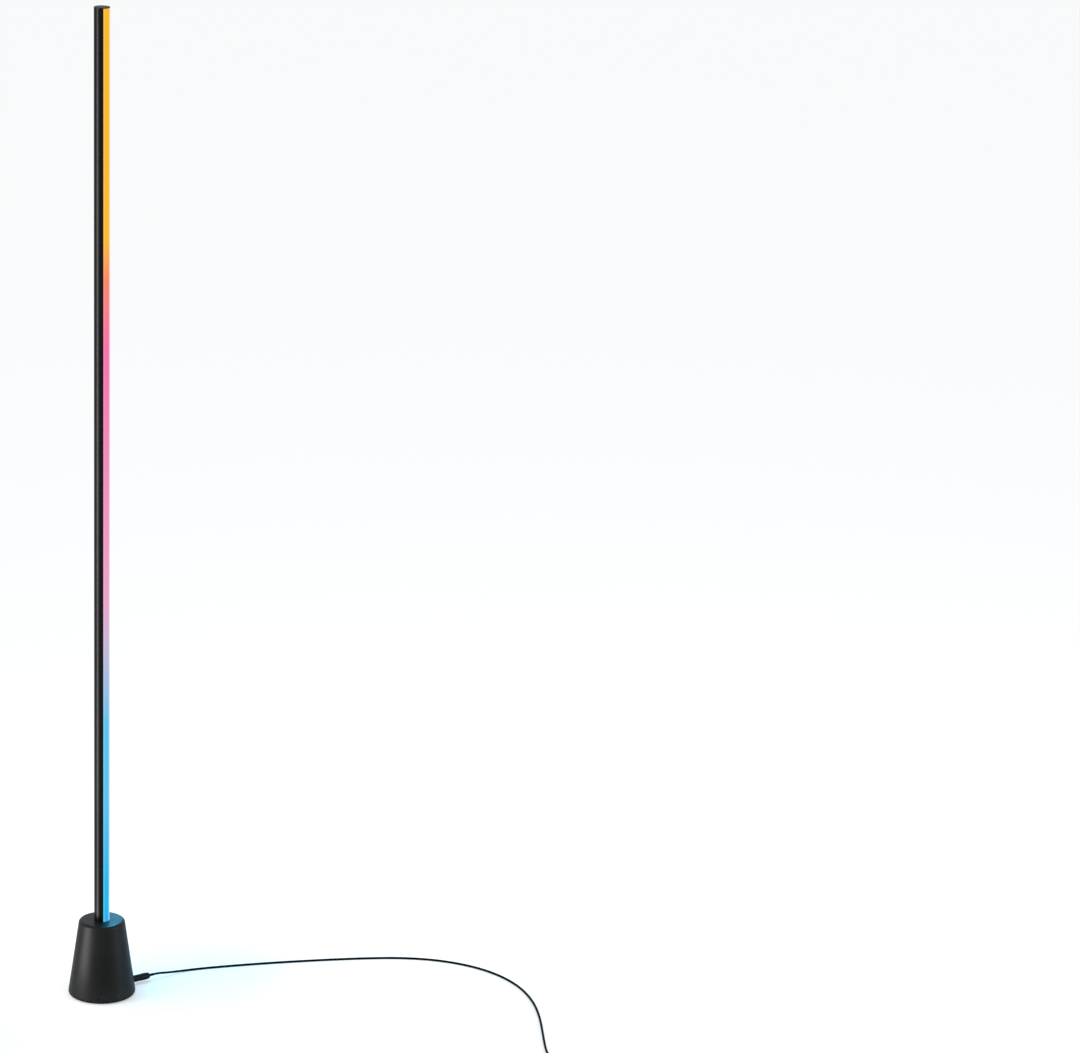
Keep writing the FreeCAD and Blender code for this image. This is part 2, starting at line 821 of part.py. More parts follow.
def make_radio_module():
    """Small daughter board with a shielding can."""
    body = new_body("radio_module")
    pad(body, Outline(body, "XY_Plane", (0, 0, board_top)).box(-18, -2, -20, 2), 0.8)
    can = Outline(body, "XY_Plane", (0, 0, board_top + 0.8)).box(-17, -3, -19, -4)
    pad(body, can, 2.4)
    return body


def make_strip_cable():
    """Cable that carries power and data from the board up to the strip in the bar."""
    strip_face = s.web_rear + s.strip_thick
    landing = strip_face + s.cable_diameter / 2 + 0.1
    start = board_top.value + 6
    y_low, y_high = s.cable_y.value, landing.value
    points = [
        Vector(0, y_low, start),
        Vector(0, y_low, 62),
        Vector(0, 0.5 * (y_low + y_high), 78),
        Vector(0, y_high, 93),
        Vector(0, y_high, 108),
    ]
    return tube_piece("strip_cable", points, s.cable_diameter.value)


def make_jack():
    """Socket for the plug: a block behind the port, with a round snout, a bore and a centre pin."""
    body = new_body("power_jack")
    half = s.jack_half_width
    box = Outline(body, "XY_Plane", (0, 0, plate_top))
    pad(body, box.box(-half, half, s.jack_front, s.jack_rear), s.jack_top - plate_top)
    snout = Outline(body, "XZ_Plane", (0, 0, -s.jack_rear + 1)).circle(0, s.port_height, s.port_radius - 0.1)
    pad(body, snout, s.port_face - s.jack_rear + 1, Reversed=True)
    bore_bottom = s.port_face - s.barrel_length - 0.6
    bore = Outline(body, "XZ_Plane", (0, 0, -bore_bottom)).circle(0, s.port_height, s.jack_bore)
    pocket(body, bore, 20)
    pin = Outline(body, "XZ_Plane", (0, 0, -bore_bottom + 1)).circle(0, s.port_height, s.jack_pin)
    pad(body, pin, s.barrel_length, Reversed=True)
    return body


# ---------------------------------------------------------------- plug


def make_plug_grip():
    """Moulded handle of the plug, with three finger grooves, ending in a short strain relief."""
    body = new_body("plug_grip")
    radius = s.grip_radius
    profile = [(s.port_face, s.barrel_radius), (s.port_face, radius - 0.6), (s.port_face + 0.6, radius)]
    for i in range(3):
        start = s.port_face + 11 + 4 * i
        profile += [(start, radius), (start + 0.6, radius - 0.5)]
        profile += [(start + 1.8, radius - 0.5), (start + 2.4, radius)]
    profile += [
        (s.grip_end - 9, radius - 0.3),
        (s.grip_end - 1.5, radius - 1.0),
        (s.grip_end, s.relief_root + 0.3),
        (s.grip_end, s.relief_root),
        (s.relief_end, s.relief_tip),
        (s.relief_end, 0),
        (s.port_face + 4, 0),
        (s.port_face + 4, s.barrel_radius),
    ]
    outline = Outline(body, "YZ_Plane", (0, s.port_height, 0))
    revolve(body, outline.loop(profile), "H_Axis")
    return body


def make_plug_barrel():
    """Metal sleeve of the plug, with the bore that the jack's pin enters."""
    body = new_body("plug_barrel")
    tip = s.port_face - s.barrel_length
    profile = [
        (tip, s.barrel_bore),
        (tip, s.barrel_radius - 0.3),
        (tip + 0.3, s.barrel_radius),
        (s.port_face + 4, s.barrel_radius),
        (s.port_face + 4, 0),
        (s.port_face + 0.5, 0),
        (s.port_face + 0.5, s.barrel_bore),
    ]
    outline = Outline(body, "YZ_Plane", (0, s.port_height, 0))
    revolve(body, outline.loop(profile), "H_Axis")
    return body


# ---------------------------------------------------------------- cord


def rounded_path(points):
    """Straight runs joined by arcs that each take nearly half of their shorter run. Prints the
    radii and returns the wire."""
    edges, radii = [], []
    start = points[0]
    for before, corner, after in zip(points, points[1:], points[2:]):
        inward = (corner - before).normalize()
        outward = (after - corner).normalize()
        turn = inward.getAngle(outward)
        reach = 0.45 * min((corner - before).Length, (after - corner).Length)
        radii.append(reach / math.tan(turn / 2))
        arc_start, arc_end = corner - inward * reach, corner + outward * reach
        bow = (outward - inward).normalize() * (radii[-1] / math.cos(turn / 2) - radii[-1])
        edges.append(Part.LineSegment(start, arc_start).toShape())
        edges.append(Part.Arc(arc_start, corner + bow, arc_end).toShape())
        start = arc_end
    edges.append(Part.LineSegment(start, points[-1]).toShape())
    return Part.Wire(edges), radii


def pipe_along(wire, heading, diameter):
    """A round tube along a wire."""
    start = wire.Edges[0].firstVertex(True).Point
    ring = Part.Wire([Part.Circle(start, heading, diameter / 2).toShape()])
    shell = Part.BRepOffsetAPI.MakePipeShell(wire)
    shell.add(ring)
    shell.build()
    shell.makeSolid()
    return shell.shape()


def solid_piece(label, shape):
    piece = document.addObject("Part::Feature", label)
    piece.Label = label
    piece.Shape = shape
    return piece


def tube_piece(label, points, diameter):
    """A tube along a hand-chosen route, checked against its section times its length."""
    wire, radii = rounded_path(points)
    shape = pipe_along(wire, points[1] - points[0], diameter)
    expected = math.pi * (diameter / 2) ** 2 * wire.Length
    print(f"{label}: length {wire.Length:.1f}, volume {shape.Volume / expected:.4f} of expected")
    print(f"{label}: radii " + " ".join(f"{radius:.0f}" for radius in radii))
    return solid_piece(label, shape)


def half_circle(start, heading, radius):
    """A level half turn to the left, and its end."""
    side = Vector(-heading.y, heading.x, 0)
    top = start + side * radius + heading * radius
    end = start + side * (2 * radius)
    return [Part.Arc(start, top, end).toShape()], end


def climbing_half_turn(start, heading, radius, rise):
    """A half turn to the left that climbs one layer, as two arcs with a common tangent."""
    side = Vector(-heading.y, heading.x, 0)
    end = start + side * (2 * radius) + Vector(0, 0, rise)
    reach = (end - start).Length / 2
    middle = (start + end) * 0.5 + heading * reach
    climb = (end - start).normalize()
    return [quarter(start, middle, heading), quarter(middle, end, climb)], end


def quarter(start, end, heading):
    """The arc from start to end that leaves along heading."""
    chord = end - start
    across = chord - heading * chord.dot(heading)
    radius = chord.dot(chord) / (2 * across.Length)
    centre = start + across.normalize() * radius
    bow = ((start - centre) + (end - centre)).normalize() * radius
    return Part.Arc(start, centre + bow, end).toShape()


def coil_path():
    """The put-away coil: one layer spiralling in, a climb, and one layer spiralling out."""
    pitch = s.coil_pitch.value
    rise = s.coil_pitch.value
    straight = s.cord_diameter.value
    place = Vector(*LEAD_ROUTE[-1])
    angle = math.radians(COIL_HEADING)
    heading = Vector(math.cos(angle), math.sin(angle), 0)
    edges = [Part.LineSegment(place, place + heading * straight).toShape()]
    place = place + heading * straight
    for i in range(HALF_TURNS_IN):
        arc, place = half_circle(place, heading, s.coil_outer.value - i * pitch / 2)
        edges += arc
        heading = -heading
    inner = s.coil_outer.value - HALF_TURNS_IN * pitch / 2
    arcs, place = climbing_half_turn(place, heading, inner, rise)
    edges += arcs
    heading = -heading
    for i in range(HALF_TURNS_OUT):
        arc, place = half_circle(place, heading, inner + (i + 1) * pitch / 2)
        edges += arc
        heading = -heading
    edges.append(Part.LineSegment(place, place + heading * straight).toShape())
    return Part.Wire(edges), place + heading * straight, heading


def least_gap(wire, diameter):
    """The least clear distance between stretches of a cord that are a half turn or more apart."""
    step = diameter / 2
    points = wire.discretize(Distance=step)
    skip = int(4 * diameter / step)
    nearest = min(
        points[i].distanceToPoint(points[j])
        for i in range(len(points))
        for j in range(i + skip, len(points))
    )
    return nearest - diameter


def make_lead():
    return tube_piece("cord_lead", [Vector(*point) for point in LEAD_ROUTE], s.cord_diameter.value)


def make_coil():
    """The coil, its least gap printed."""
    wire, end, heading = coil_path()
    diameter = s.cord_diameter.value
    angle = math.radians(COIL_HEADING)
    shape = pipe_along(wire, Vector(math.cos(angle), math.sin(angle), 0), diameter)
    expected = math.pi * (diameter / 2) ** 2 * wire.Length
    print(f"cord_coil: length {wire.Length:.1f}, volume {shape.Volume / expected:.4f} of expected")
    print(f"cord_coil: least gap to itself {least_gap(wire, diameter):.2f}")
    return solid_piece("cord_coil", shape), end, heading


def make_tail(end, heading):
    """The short run from the coil to the adapter."""
    side = Vector(-heading.y, heading.x, 0)
    points = [end + heading * a + side * b + Vector(0, 0, c) for a, b, c in TAIL_ROUTE]
    return tube_piece("cord_tail", points, s.cord_diameter.value), points


def make_tie(heading):
    """Strap round the coil's turns, at the coil's far side."""
    body = new_body("cord_tie")
    pitch = s.coil_pitch
    inner = s.coil_outer - HALF_TURNS_IN * pitch / 2
    radius = s.cord_diameter / 2
    left, right = inner - radius - 0.5, s.coil_outer + radius + 0.3
    low, high = s.coil_height - radius - 0.1, s.coil_height + pitch + radius + 0.2
    thick = s.tie_thick
    outline = Outline(body, "XZ_Plane", (0, 0, -s.tie_width / 2))
    outline.box(left - thick, right + thick, low - thick, high + thick)
    outline.box(left, right, low, high)
    pad(body, outline, s.tie_width)
    side = Vector(-heading.y, heading.x, 0)
    centre = Vector(*LEAD_ROUTE[-1]) + heading * s.cord_diameter.value + side * s.coil_outer.value
    turn = COIL_HEADING - 15
    body.Placement = Placement(Vector(centre.x, centre.y, 0), Rotation(Vector(0, 0, 1), turn))
    return body


# ---------------------------------------------------------------- adapter

adapter_rear = s.gland_length
adapter_front = adapter_rear + s.adapter_length
adapter_split = adapter_front - s.adapter_face_depth
adapter_middle = s.adapter_height / 2


def adapter_block(body, x_low, x_high, inset):
    """A rectangular length of the adapter's outline, inset evenly."""
    half = s.adapter_width / 2 - inset
    outline = Outline(body, "YZ_Plane", (0, 0, x_low))
    outline.box(-half, half, as_size(0) + inset, s.adapter_height - inset)
    return outline, x_high - x_low


def long_edge(edge):
    """An edge that runs the length of the adapter, on its outside."""
    box = edge.BoundBox
    return box.XLength > 5 and box.YLength < 0.01 and box.ZLength < 0.01


def rim_at(distance):
    """A test for the edges that lie in one plane across the adapter."""

    def test(edge):
        box = edge.BoundBox
        return box.XLength < 0.01 and abs(box.XMin - distance.value) < 0.01

    return test


def make_adapter_shell():
    """Rear shell of the adapter, open towards the face."""
    body = new_body("adapter_shell")
    outline, length = adapter_block(body, adapter_rear, adapter_split, 0)
    pad(body, outline, length)
    fillet(body, long_edge, s.adapter_edge)
    chamfer(body, rim_at(adapter_split), 0.35)
    rear_edges = edges_where(body, lambda e: abs(e.BoundBox.XMax - adapter_rear.value) < 0.01)
    feature(body, "Fillet", Base=(body.Tip, rear_edges), Radius=as_size(2.5))
    outline, length = adapter_block(body, adapter_rear + s.adapter_wall, adapter_split, 2.8)
    pocket(body, outline, length + 1, Reversed=True)
    entry = Outline(body, "YZ_Plane", (0, 0, adapter_rear - 1)).circle(0, adapter_middle, 3.0)
    pocket(body, entry, s.adapter_wall + 2, Reversed=True)
    return body


def make_adapter_face():
    """Front cover with a raised plate round the pins and an insulating sleeve on each pin."""
    body = new_body("adapter_face")
    outline, length = adapter_block(body, adapter_split, adapter_front, 0)
    pad(body, outline, length)
    fillet(body, long_edge, s.adapter_edge)
    chamfer(body, rim_at(adapter_split), 0.35)
    front_edges = edges_where(body, lambda e: abs(e.BoundBox.XMin - adapter_front.value) < 0.01)
    feature(body, "Fillet", Base=(body.Tip, front_edges), Radius=as_size(1.5))
    outline, length = adapter_block(body, adapter_split, adapter_front - s.adapter_wall, 2.8)
    pocket(body, outline, length, Reversed=True)
    sleeves = Outline(body, "YZ_Plane", (0, 0, adapter_front - s.adapter_wall))
    bores = Outline(body, "YZ_Plane", (0, 0, adapter_split))
    for y in (-s.pin_spacing / 2, s.pin_spacing / 2):
        sleeves.circle(y, adapter_middle, s.pin_radius)
        bores.circle(y, adapter_middle, s.pin_radius - 0.4)
    pad(body, sleeves, s.pin_sleeve + s.adapter_wall)
    pocket(body, bores, 40, Reversed=True)
    return body


def make_adapter_pins():
    """Two round pins, full size at the tip and thinner where the sleeves cover them."""
    body = new_body("adapter_pins")
    sleeve_end = adapter_front + s.pin_sleeve
    tip = adapter_front + s.pin_reach
    thin = s.pin_radius - 0.4
    start = adapter_front - s.adapter_wall - 5
    profile = [
        (start, 0),
        (start, thin),
        (sleeve_end, thin),
        (sleeve_end, s.pin_radius),
        (tip - 1.2, s.pin_radius),
        (tip - 0.4, s.pin_radius - 0.5),
        (tip, s.pin_radius - 1.3),
        (tip, 0),
    ]
    outline = Outline(body, "XZ_Plane", (0, adapter_middle, s.pin_spacing / 2))
    pin = revolve(body, outline.loop(profile), "H_Axis")
    along(body, [pin], "Y_Axis", s.pin_spacing, 2)
    return body


def make_adapter_gland():
    """Tapered strain relief in the adapter's rear wall."""
    body = new_body("adapter_gland")
    profile = [
        (0, 0),
        (0, s.relief_tip),
        (adapter_rear, as_size(2.9)),
        (adapter_rear + s.adapter_wall, as_size(2.9)),
        (adapter_rear + s.adapter_wall, as_size(4.2)),
        (adapter_rear + s.adapter_wall + 2, as_size(4.2)),
        (adapter_rear + s.adapter_wall + 2, 0),
    ]
    outline = Outline(body, "XZ_Plane", (0, adapter_middle, 0))
    revolve(body, outline.loop(profile), "H_Axis")
    return body


def make_adapter_inside():
    """Board, transformer and capacitor in the adapter."""
    board_low = s.adapter_wall + 2.8
    board_high = board_low + s.board_thick
    return [
        block("adapter_board", 20, 64, -15, 15, board_low, board_high),
        block("adapter_transformer", 40, 60, -10, 10, board_high, board_high + 16),
        rod("adapter_capacitor", 30, 6, board_high, board_high + 14, 5),
    ]


def place_adapter(pieces, tail_points):
    """Lays the adapter so that its gland meets the end of the cord."""
    end = tail_points[-1]
    direction = end - tail_points[-2]
    turn = math.degrees(math.atan2(direction.y, direction.x))
    print(f"adapter: gland at {end}, facing {turn:.1f}, axis height {adapter_middle.value}")
    rotation = Rotation(Vector(0, 0, 1), turn)
    moved = Placement(Vector(end.x, end.y, 0), rotation)
    for piece in pieces:
        for path, _ in list(piece.ExpressionEngine):
            if path.startswith(".Placement"):
                piece.setExpression(path, None)
        piece.Placement = moved.multiply(piece.Placement)


# ---------------------------------------------------------------- build


def make_everything():
    """Every piece of the lamp, in the order that it is put together."""
    pieces = [make_base_shell(), make_counterweight(), make_bottom_plate(), make_foot_pad()]
    pieces += [make_plate_screws(), make_bar_bolt(), make_bolt_washer(), make_bar_foot()]
    pieces += [make_foot_screws(), make_light_channel(), make_diffuser(), make_top_cap()]
    pieces += [make_led_strip(), make_led_chips(), *make_board_parts(), make_strip_cable()]
    pieces += [make_jack(), make_plug_grip(), make_plug_barrel(), make_lead()]
    coil, end, heading = make_coil()
    tail, tail_points = make_tail(end, heading)
    pieces += [coil, tail, make_tie(heading)]
    adapter = [make_adapter_shell(), make_adapter_face(), make_adapter_pins()]
    adapter += [make_adapter_gland(), *make_adapter_inside()]
    document.recompute()
    place_adapter(adapter, tail_points)
    return pieces + adapter


def check(pieces):
    """Stops the build if any object failed or any shape is unsound."""
    document.recompute()
    for item in document.Objects:
        if {"Invalid", "Error"} & set(item.State):
            raise RuntimeError(f"{item.Label} failed: {item.State}")
    for piece in pieces:
        shape = piece.Shape
        if shape.isNull() or not shape.isValid() or shape.Volume <= 0:
            raise RuntimeError(f"{piece.Label} has no sound shape")


def write(pieces):
    """One file for each piece, named after it."""
    os.makedirs("parts", exist_ok=True)
    for piece in pieces:
        piece.Shape.exportStep(f"parts/{piece.Label}.step")
        box = piece.Shape.BoundBox
        low = f"{box.XMin:.1f} {box.YMin:.1f} {box.ZMin:.1f}"
        high = f"{box.XMax:.1f} {box.YMax:.1f} {box.ZMax:.1f}"
        print(f"{piece.Label}: {low} to {high}, {len(piece.Shape.Solids)} solids, {piece.Shape.Volume:.0f}")


every_piece = make_everything()
check(every_piece)
write(every_piece)
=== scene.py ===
import logging
import math
from collections.abc import Callable, Iterable, Sequence
from dataclasses import dataclass
from enum import Enum

import bmesh
import bpy
from mathutils import Matrix, Vector


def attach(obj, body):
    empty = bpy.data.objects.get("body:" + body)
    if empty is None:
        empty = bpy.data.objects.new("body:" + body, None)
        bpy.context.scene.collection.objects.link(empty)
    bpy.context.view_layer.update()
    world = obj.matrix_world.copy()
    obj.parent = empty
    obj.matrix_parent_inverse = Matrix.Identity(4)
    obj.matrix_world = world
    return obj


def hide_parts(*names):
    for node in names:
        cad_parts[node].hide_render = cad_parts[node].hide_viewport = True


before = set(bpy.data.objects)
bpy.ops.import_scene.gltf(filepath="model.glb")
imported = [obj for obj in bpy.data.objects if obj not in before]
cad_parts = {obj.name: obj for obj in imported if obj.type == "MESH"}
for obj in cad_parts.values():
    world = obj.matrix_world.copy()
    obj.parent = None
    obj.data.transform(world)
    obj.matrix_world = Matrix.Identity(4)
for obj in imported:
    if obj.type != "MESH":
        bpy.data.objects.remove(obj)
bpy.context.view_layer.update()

MM = 0.001
WHITE = (1.0, 1.0, 1.0, 1.0)
BLACK = (0.0, 0.0, 0.0, 1.0)

log = logging.getLogger("corner_floor_lamp")


class Body(Enum):
    """The two rigid bodies that a piece can ride on."""

    LAMP = "lamp"
    CORD_SET = "cord_set"


class Hue(Enum):
    """The colours of the lamp's light, from the top of the bar down, as 0 to 255 values."""

    AMBER = (244, 180, 12)
    CORAL = (246, 128, 92)
    PINK = (240, 104, 165)
    ROSE = (229, 158, 196)
    LILAC = (188, 180, 210)
    SKY = (86, 190, 232)
    AZURE = (22, 180, 233)

    def linear(self) -> tuple[float, float, float, float]:
        """The hue as a linear colour."""
        return linear_colour(*self.value)


def linear_colour(red: int, green: int, blue: int) -> tuple[float, float, float, float]:
    """Turns a display colour into a linear one.

    Args:
        red: Red from 0 to 255.
        green: Green from 0 to 255.
        blue: Blue from 0 to 255.

    Returns:
        The colour with an alpha of 1.
    """
    channels = [channel / 255 for channel in (red, green, blue)]
    bright = [c / 12.92 if c <= 0.04045 else ((c + 0.055) / 1.055) ** 2.4 for c in channels]
    return (bright[0], bright[1], bright[2], 1.0)


# ---------------------------------------------------------------- shader expressions


class Signal:
    """A shader socket whose arithmetic adds Math nodes."""

    def __init__(self, net: "Net", socket: bpy.types.NodeSocket) -> None:
        """Keeps the socket and the net that it belongs to."""
        self.net = net
        self.socket = socket

    def _maths(self, operation: str, *values: "Signal | float") -> "Signal":
        """One Math node on the given values."""
        inputs = dict(enumerate(values))
        return self.net.out("ShaderNodeMath", {"operation": operation}, inputs)

    def __add__(self, other: "Signal | float") -> "Signal":
        """The sum."""
        return self._maths("ADD", self, other)

    def __radd__(self, other: float) -> "Signal":
        """The sum with a number first."""
        return self._maths("ADD", other, self)

    def __sub__(self, other: "Signal | float") -> "Signal":
        """The difference."""
        return self._maths("SUBTRACT", self, other)

    def __rsub__(self, other: float) -> "Signal":
        """The difference from a number."""
        return self._maths("SUBTRACT", other, self)

    def __mul__(self, other: "Signal | float") -> "Signal":
        """The product."""
        return self._maths("MULTIPLY", self, other)

    def __rmul__(self, other: float) -> "Signal":
        """The product with a number first."""
        return self._maths("MULTIPLY", other, self)

    def __truediv__(self, other: "Signal | float") -> "Signal":
        """The quotient."""
        return self._maths("DIVIDE", self, other)

    def __abs__(self) -> "Signal":
        """The size without its sign."""
        return self._maths("ABSOLUTE", self)

    def sine(self) -> "Signal":
        """The sine."""
        return self._maths("SINE", self)

    def above(self, limit: float) -> "Signal":
        """1 where the value is above a limit, and 0 elsewhere."""
        return self._maths("GREATER_THAN", self, limit)

    def fraction(self) -> "Signal":
        """The part after the decimal point."""
        return self._maths("FRACT", self)

    def most(self, other: "Signal | float") -> "Signal":
        """The larger of two values."""
        return self._maths("MAXIMUM", self, other)

    def ramp(self, low: float, high: float) -> "Signal":
        """Rises smoothly from 0 at low to 1 at high.

        Args:
            low: The value that gives 0.
            high: The value that gives 1.

        Returns:
            The smoothed value.
        """
        settings = {"interpolation_type": "SMOOTHSTEP"}
        inputs = {"Value": self, "From Min": low, "From Max": high}
        return self.net.out("ShaderNodeMapRange", settings, inputs)


class Net:
    """The node tree of one material or world."""

    def __init__(self, tree: bpy.types.NodeTree) -> None:
        """Starts the tree empty."""
        self.tree = tree
        tree.nodes.clear()

    def node(
        self,
        kind: str,
        settings: dict[str, object] | None = None,
        inputs: dict[str | int, object] | None = None,
    ) -> bpy.types.Node:
        """Adds one node.

        Args:
            kind: The node's type.
            settings: Its own properties; stops fills a colour ramp.
            inputs: Values or signals for its sockets, by name, identifier or number.

        Returns:
            The new node.
        """
        made = self.tree.nodes.new(kind)
        for name, value in (settings or {}).items():
            if name == "stops":
                self._fill_ramp(made.color_ramp, value)
            else:
                setattr(made, name, value)
        for key, value in (inputs or {}).items():
            socket = self._socket(made.inputs, key)
            if isinstance(value, Signal):
                self.tree.links.new(value.socket, socket)
            else:
                socket.default_value = value
        return made

    def out(
        self,
        kind: str,
        settings: dict[str, object] | None = None,
        inputs: dict[str | int, object] | None = None,
        output: str | int = 0,
    ) -> Signal:
        """Adds one node and returns one of its outputs.

        Args:
            kind: The node's type.
            settings: Its own properties.
            inputs: Values or signals for its sockets.
            output: The output's name, identifier or number.

        Returns:
            The output as a signal.
        """
        made = self.node(kind, settings, inputs)
        return Signal(self, self._socket(made.outputs, output))

    def mix(self, amount: Signal | float, first: object, second: object) -> Signal:
        """Blends two colours.

        Args:
            amount: 0 gives the first colour and 1 the second.
            first: A colour or a signal.
            second: A colour or a signal.

        Returns:
            The blended colour.
        """
        inputs = {"Factor_Float": amount, "A_Color": first, "B_Color": second}
        return self.out("ShaderNodeMix", {"data_type": "RGBA"}, inputs, "Result_Color")

    def place(self) -> Signal:
        """The point on the piece, in its own frame, in metres."""
        return self.out("ShaderNodeTexCoord", output="Object")

    def axes(self) -> tuple[Signal, Signal, Signal]:
        """The point's x, y and z."""
        split = self.node("ShaderNodeSeparateXYZ", inputs={"Vector": self.place()})
        return tuple(Signal(self, socket) for socket in split.outputs)

    def stretched(self, x: float, y: float, z: float) -> Signal:
        """The point with each axis multiplied by its own number."""
        inputs = {0: self.place(), 1: (x, y, z)}
        return self.out("ShaderNodeVectorMath", {"operation": "MULTIPLY"}, inputs)

    def noise(self, size: float, detail: float = 3.0, where: Signal | None = None) -> Signal:
        """Smooth noise between 0 and 1.

        Args:
            size: The size of its features in millimetres.
            detail: How many finer layers it has.
            where: The place that it follows, if not the piece's own.

        Returns:
            The noise.
        """
        scale = 1 / (size * MM)
        inputs = {"Vector": where or self.place(), "Scale": scale, "Detail": detail}
        return self.out("ShaderNodeTexNoise", inputs=inputs)

    def cells(self, size: float) -> Signal:
        """The distance to the nearest of many scattered points, in units of their spacing."""
        inputs = {"Vector": self.place(), "Scale": 1 / (size * MM)}
        return self.out("ShaderNodeTexVoronoi", inputs=inputs)

    def bump(self, height: Signal, depth: float) -> Signal:
        """Turns a height into a normal.

        Args:
            height: Height from 0 to 1.
            depth: What 1 stands for, in millimetres.

        Returns:
            The normal.
        """
        return self.out("ShaderNodeBump", inputs={"Height": height, "Distance": depth * MM})

    def finish(self, shader: bpy.types.Node) -> None:
        """Joins a shader to the material's output."""
        output = self.tree.nodes.new("ShaderNodeOutputMaterial")
        self.tree.links.new(shader.outputs[0], output.inputs["Surface"])

    @staticmethod
    def _socket(sockets: Sequence[bpy.types.NodeSocket], key: str | int) -> bpy.types.NodeSocket:
        """Finds a socket by number, identifier or name."""
        if isinstance(key, int):
            return sockets[key]
        for socket in sockets:
            if key == socket.identifier:
                return socket
        return sockets[key]

    @staticmethod
    def _fill_ramp(ramp: bpy.types.ColorRamp, stops: Iterable[tuple[float, Sequence[float]]]) -> None:
        """Gives a colour ramp its stops, lowest first."""
        stops = list(stops)
        while len(ramp.elements) < len(stops):
            ramp.elements.new(1.0)
        for element, (position, colour) in zip(ramp.elements, stops):
            element.position = position
            element.color = colour


# ---------------------------------------------------------------- finishes


@dataclass(frozen=True)
class Finish:
    """A surface finish. Subclasses paint their own detail.

    Attributes:
        name: The material's name.
        colour: The main colour, linear.
        roughness: The main roughness.
        shine: How strongly a plain surface reflects, with 0.5 for ordinary plastic.
    """

    name: str
    colour: tuple[float, float, float, float]
    roughness: float = 0.5
    shine: float = 0.5

    def material(self) -> bpy.types.Material:
        """Returns the finish's material, made once."""
        known = bpy.data.materials.get(self.name)
        if known:
            return known
        made = bpy.data.materials.new(self.name)
        made.use_nodes = True
        net = Net(made.node_tree)
        net.finish(net.node("ShaderNodeBsdfPrincipled", inputs=self.surface(net)))
        made.diffuse_color = self.colour
        return made

    def surface(self, net: Net) -> dict[str | int, object]:
        """The inputs of the finish's main shader.

        Args:
            net: The material's node net.

        Returns:
            Values and signals by socket name.
        """
        return {
            "Base Color": self.colour,
            "Roughness": self.roughness,
            "Specular IOR Level": self.shine,
        }

    def shade(self, factor: float) -> tuple[float, float, float, float]:
        """The main colour, darker or lighter."""
        red, green, blue, _ = self.colour
        return (red * factor, green * factor, blue * factor, 1.0)


@dataclass(frozen=True)
class PowderCoat(Finish):
    """Baked matt powder paint: a fine orange peel, and paler dust in the hollows of it."""

    grain: float = 0.45
    depth: float = 0.035

    def surface(self, net: Net) -> dict[str | int, object]:
        """Paints the peel, the handling marks and a little dust towards the foot."""
        inputs = super().surface(net)
        peel = net.noise(self.grain, 2.0)
        haze = net.noise(38.0, 3.0)
        height = net.axes()[2]
        dust = height.ramp(0.03, 0.0) * net.noise(2.0, 4.0).ramp(0.45, 0.75)
        colour = net.mix(haze.ramp(0.3, 0.7), self.shade(0.85), self.shade(1.2))
        inputs["Base Color"] = net.mix(dust * 0.25, colour, linear_colour(92, 92, 94))
        inputs["Roughness"] = self.roughness + (haze - 0.5) * 0.12 + dust * 0.1
        inputs["Normal"] = net.bump(peel, self.depth)
        return inputs


@dataclass(frozen=True)
class DrawnAnodising(Finish):
    """Anodised extrusion: fine die lines along the bar under a satin film."""

    line: float = 0.16
    depth: float = 0.006

    def surface(self, net: Net) -> dict[str | int, object]:
        """Paints the die lines and a soft variation of the film."""
        inputs = super().surface(net)
        lines = net.noise(self.line, 2.0, net.stretched(1.0, 1.0, 0.004))
        film = net.noise(90.0, 2.0, net.stretched(1.0, 1.0, 0.25))
        inputs["Base Color"] = net.mix(film.ramp(0.3, 0.7), self.shade(0.85), self.shade(1.15))
        inputs["Roughness"] = self.roughness + (lines - 0.5) * 0.12 + (film - 0.5) * 0.06
        inputs["Normal"] = net.bump(lines, self.depth)
        return inputs


@dataclass(frozen=True)
class MouldedPlastic(Finish):
    """Injection-moulded plastic: spark-eroded texture, with slight flow marks."""

    grain: float = 0.3
    depth: float = 0.02

    def surface(self, net: Net) -> dict[str | int, object]:
        """Paints the texture and the flow marks."""
        inputs = super().surface(net)
        spark = net.noise(self.grain, 4.0)
        flow = net.noise(14.0, 2.0)
        inputs["Base Color"] = net.mix(flow.ramp(0.35, 0.65), self.shade(0.88), self.shade(1.12))
        inputs["Roughness"] = self.roughness + (spark - 0.5) * 0.2 + (flow - 0.5) * 0.06
        inputs["Normal"] = net.bump(spark, self.depth)
        return inputs


@dataclass(frozen=True)
class CordJacket(Finish):
    """Extruded flexible jacket: slow waviness, fine scuffs and dust."""

    def surface(self, net: Net) -> dict[str | int, object]:
        """Paints the scuffs and a slow change of gloss along the cord."""
        inputs = super().surface(net)
        wave = net.noise(22.0, 2.0)
        scuff = net.noise(1.1, 5.0).ramp(0.58, 0.72)
        inputs["Base Color"] = net.mix(scuff * 0.3, self.colour, linear_colour(34, 34, 35))
        inputs["Roughness"] = self.roughness + (wave - 0.5) * 0.14 + scuff * 0.15
        inputs["Normal"] = net.bump(net.noise(0.8, 3.0), 0.02)
        return inputs


@dataclass(frozen=True)
class CastIron(Finish):
    """Sand-cast iron: coarse grains and a few rusty hollows."""

    def surface(self, net: Net) -> dict[str | int, object]:
        """Paints the sand grain and the rust."""
        inputs = super().surface(net)
        grain = net.noise(0.9, 5.0)
        rust = net.noise(12.0, 4.0).ramp(0.6, 0.75)
        inputs["Base Color"] = net.mix(rust * 0.6, self.colour, linear_colour(96, 60, 42))
        inputs["Roughness"] = self.roughness + (grain - 0.5) * 0.3
        inputs["Normal"] = net.bump(grain, 0.25)
        inputs["Metallic"] = 1.0 - rust * 0.8
        return inputs


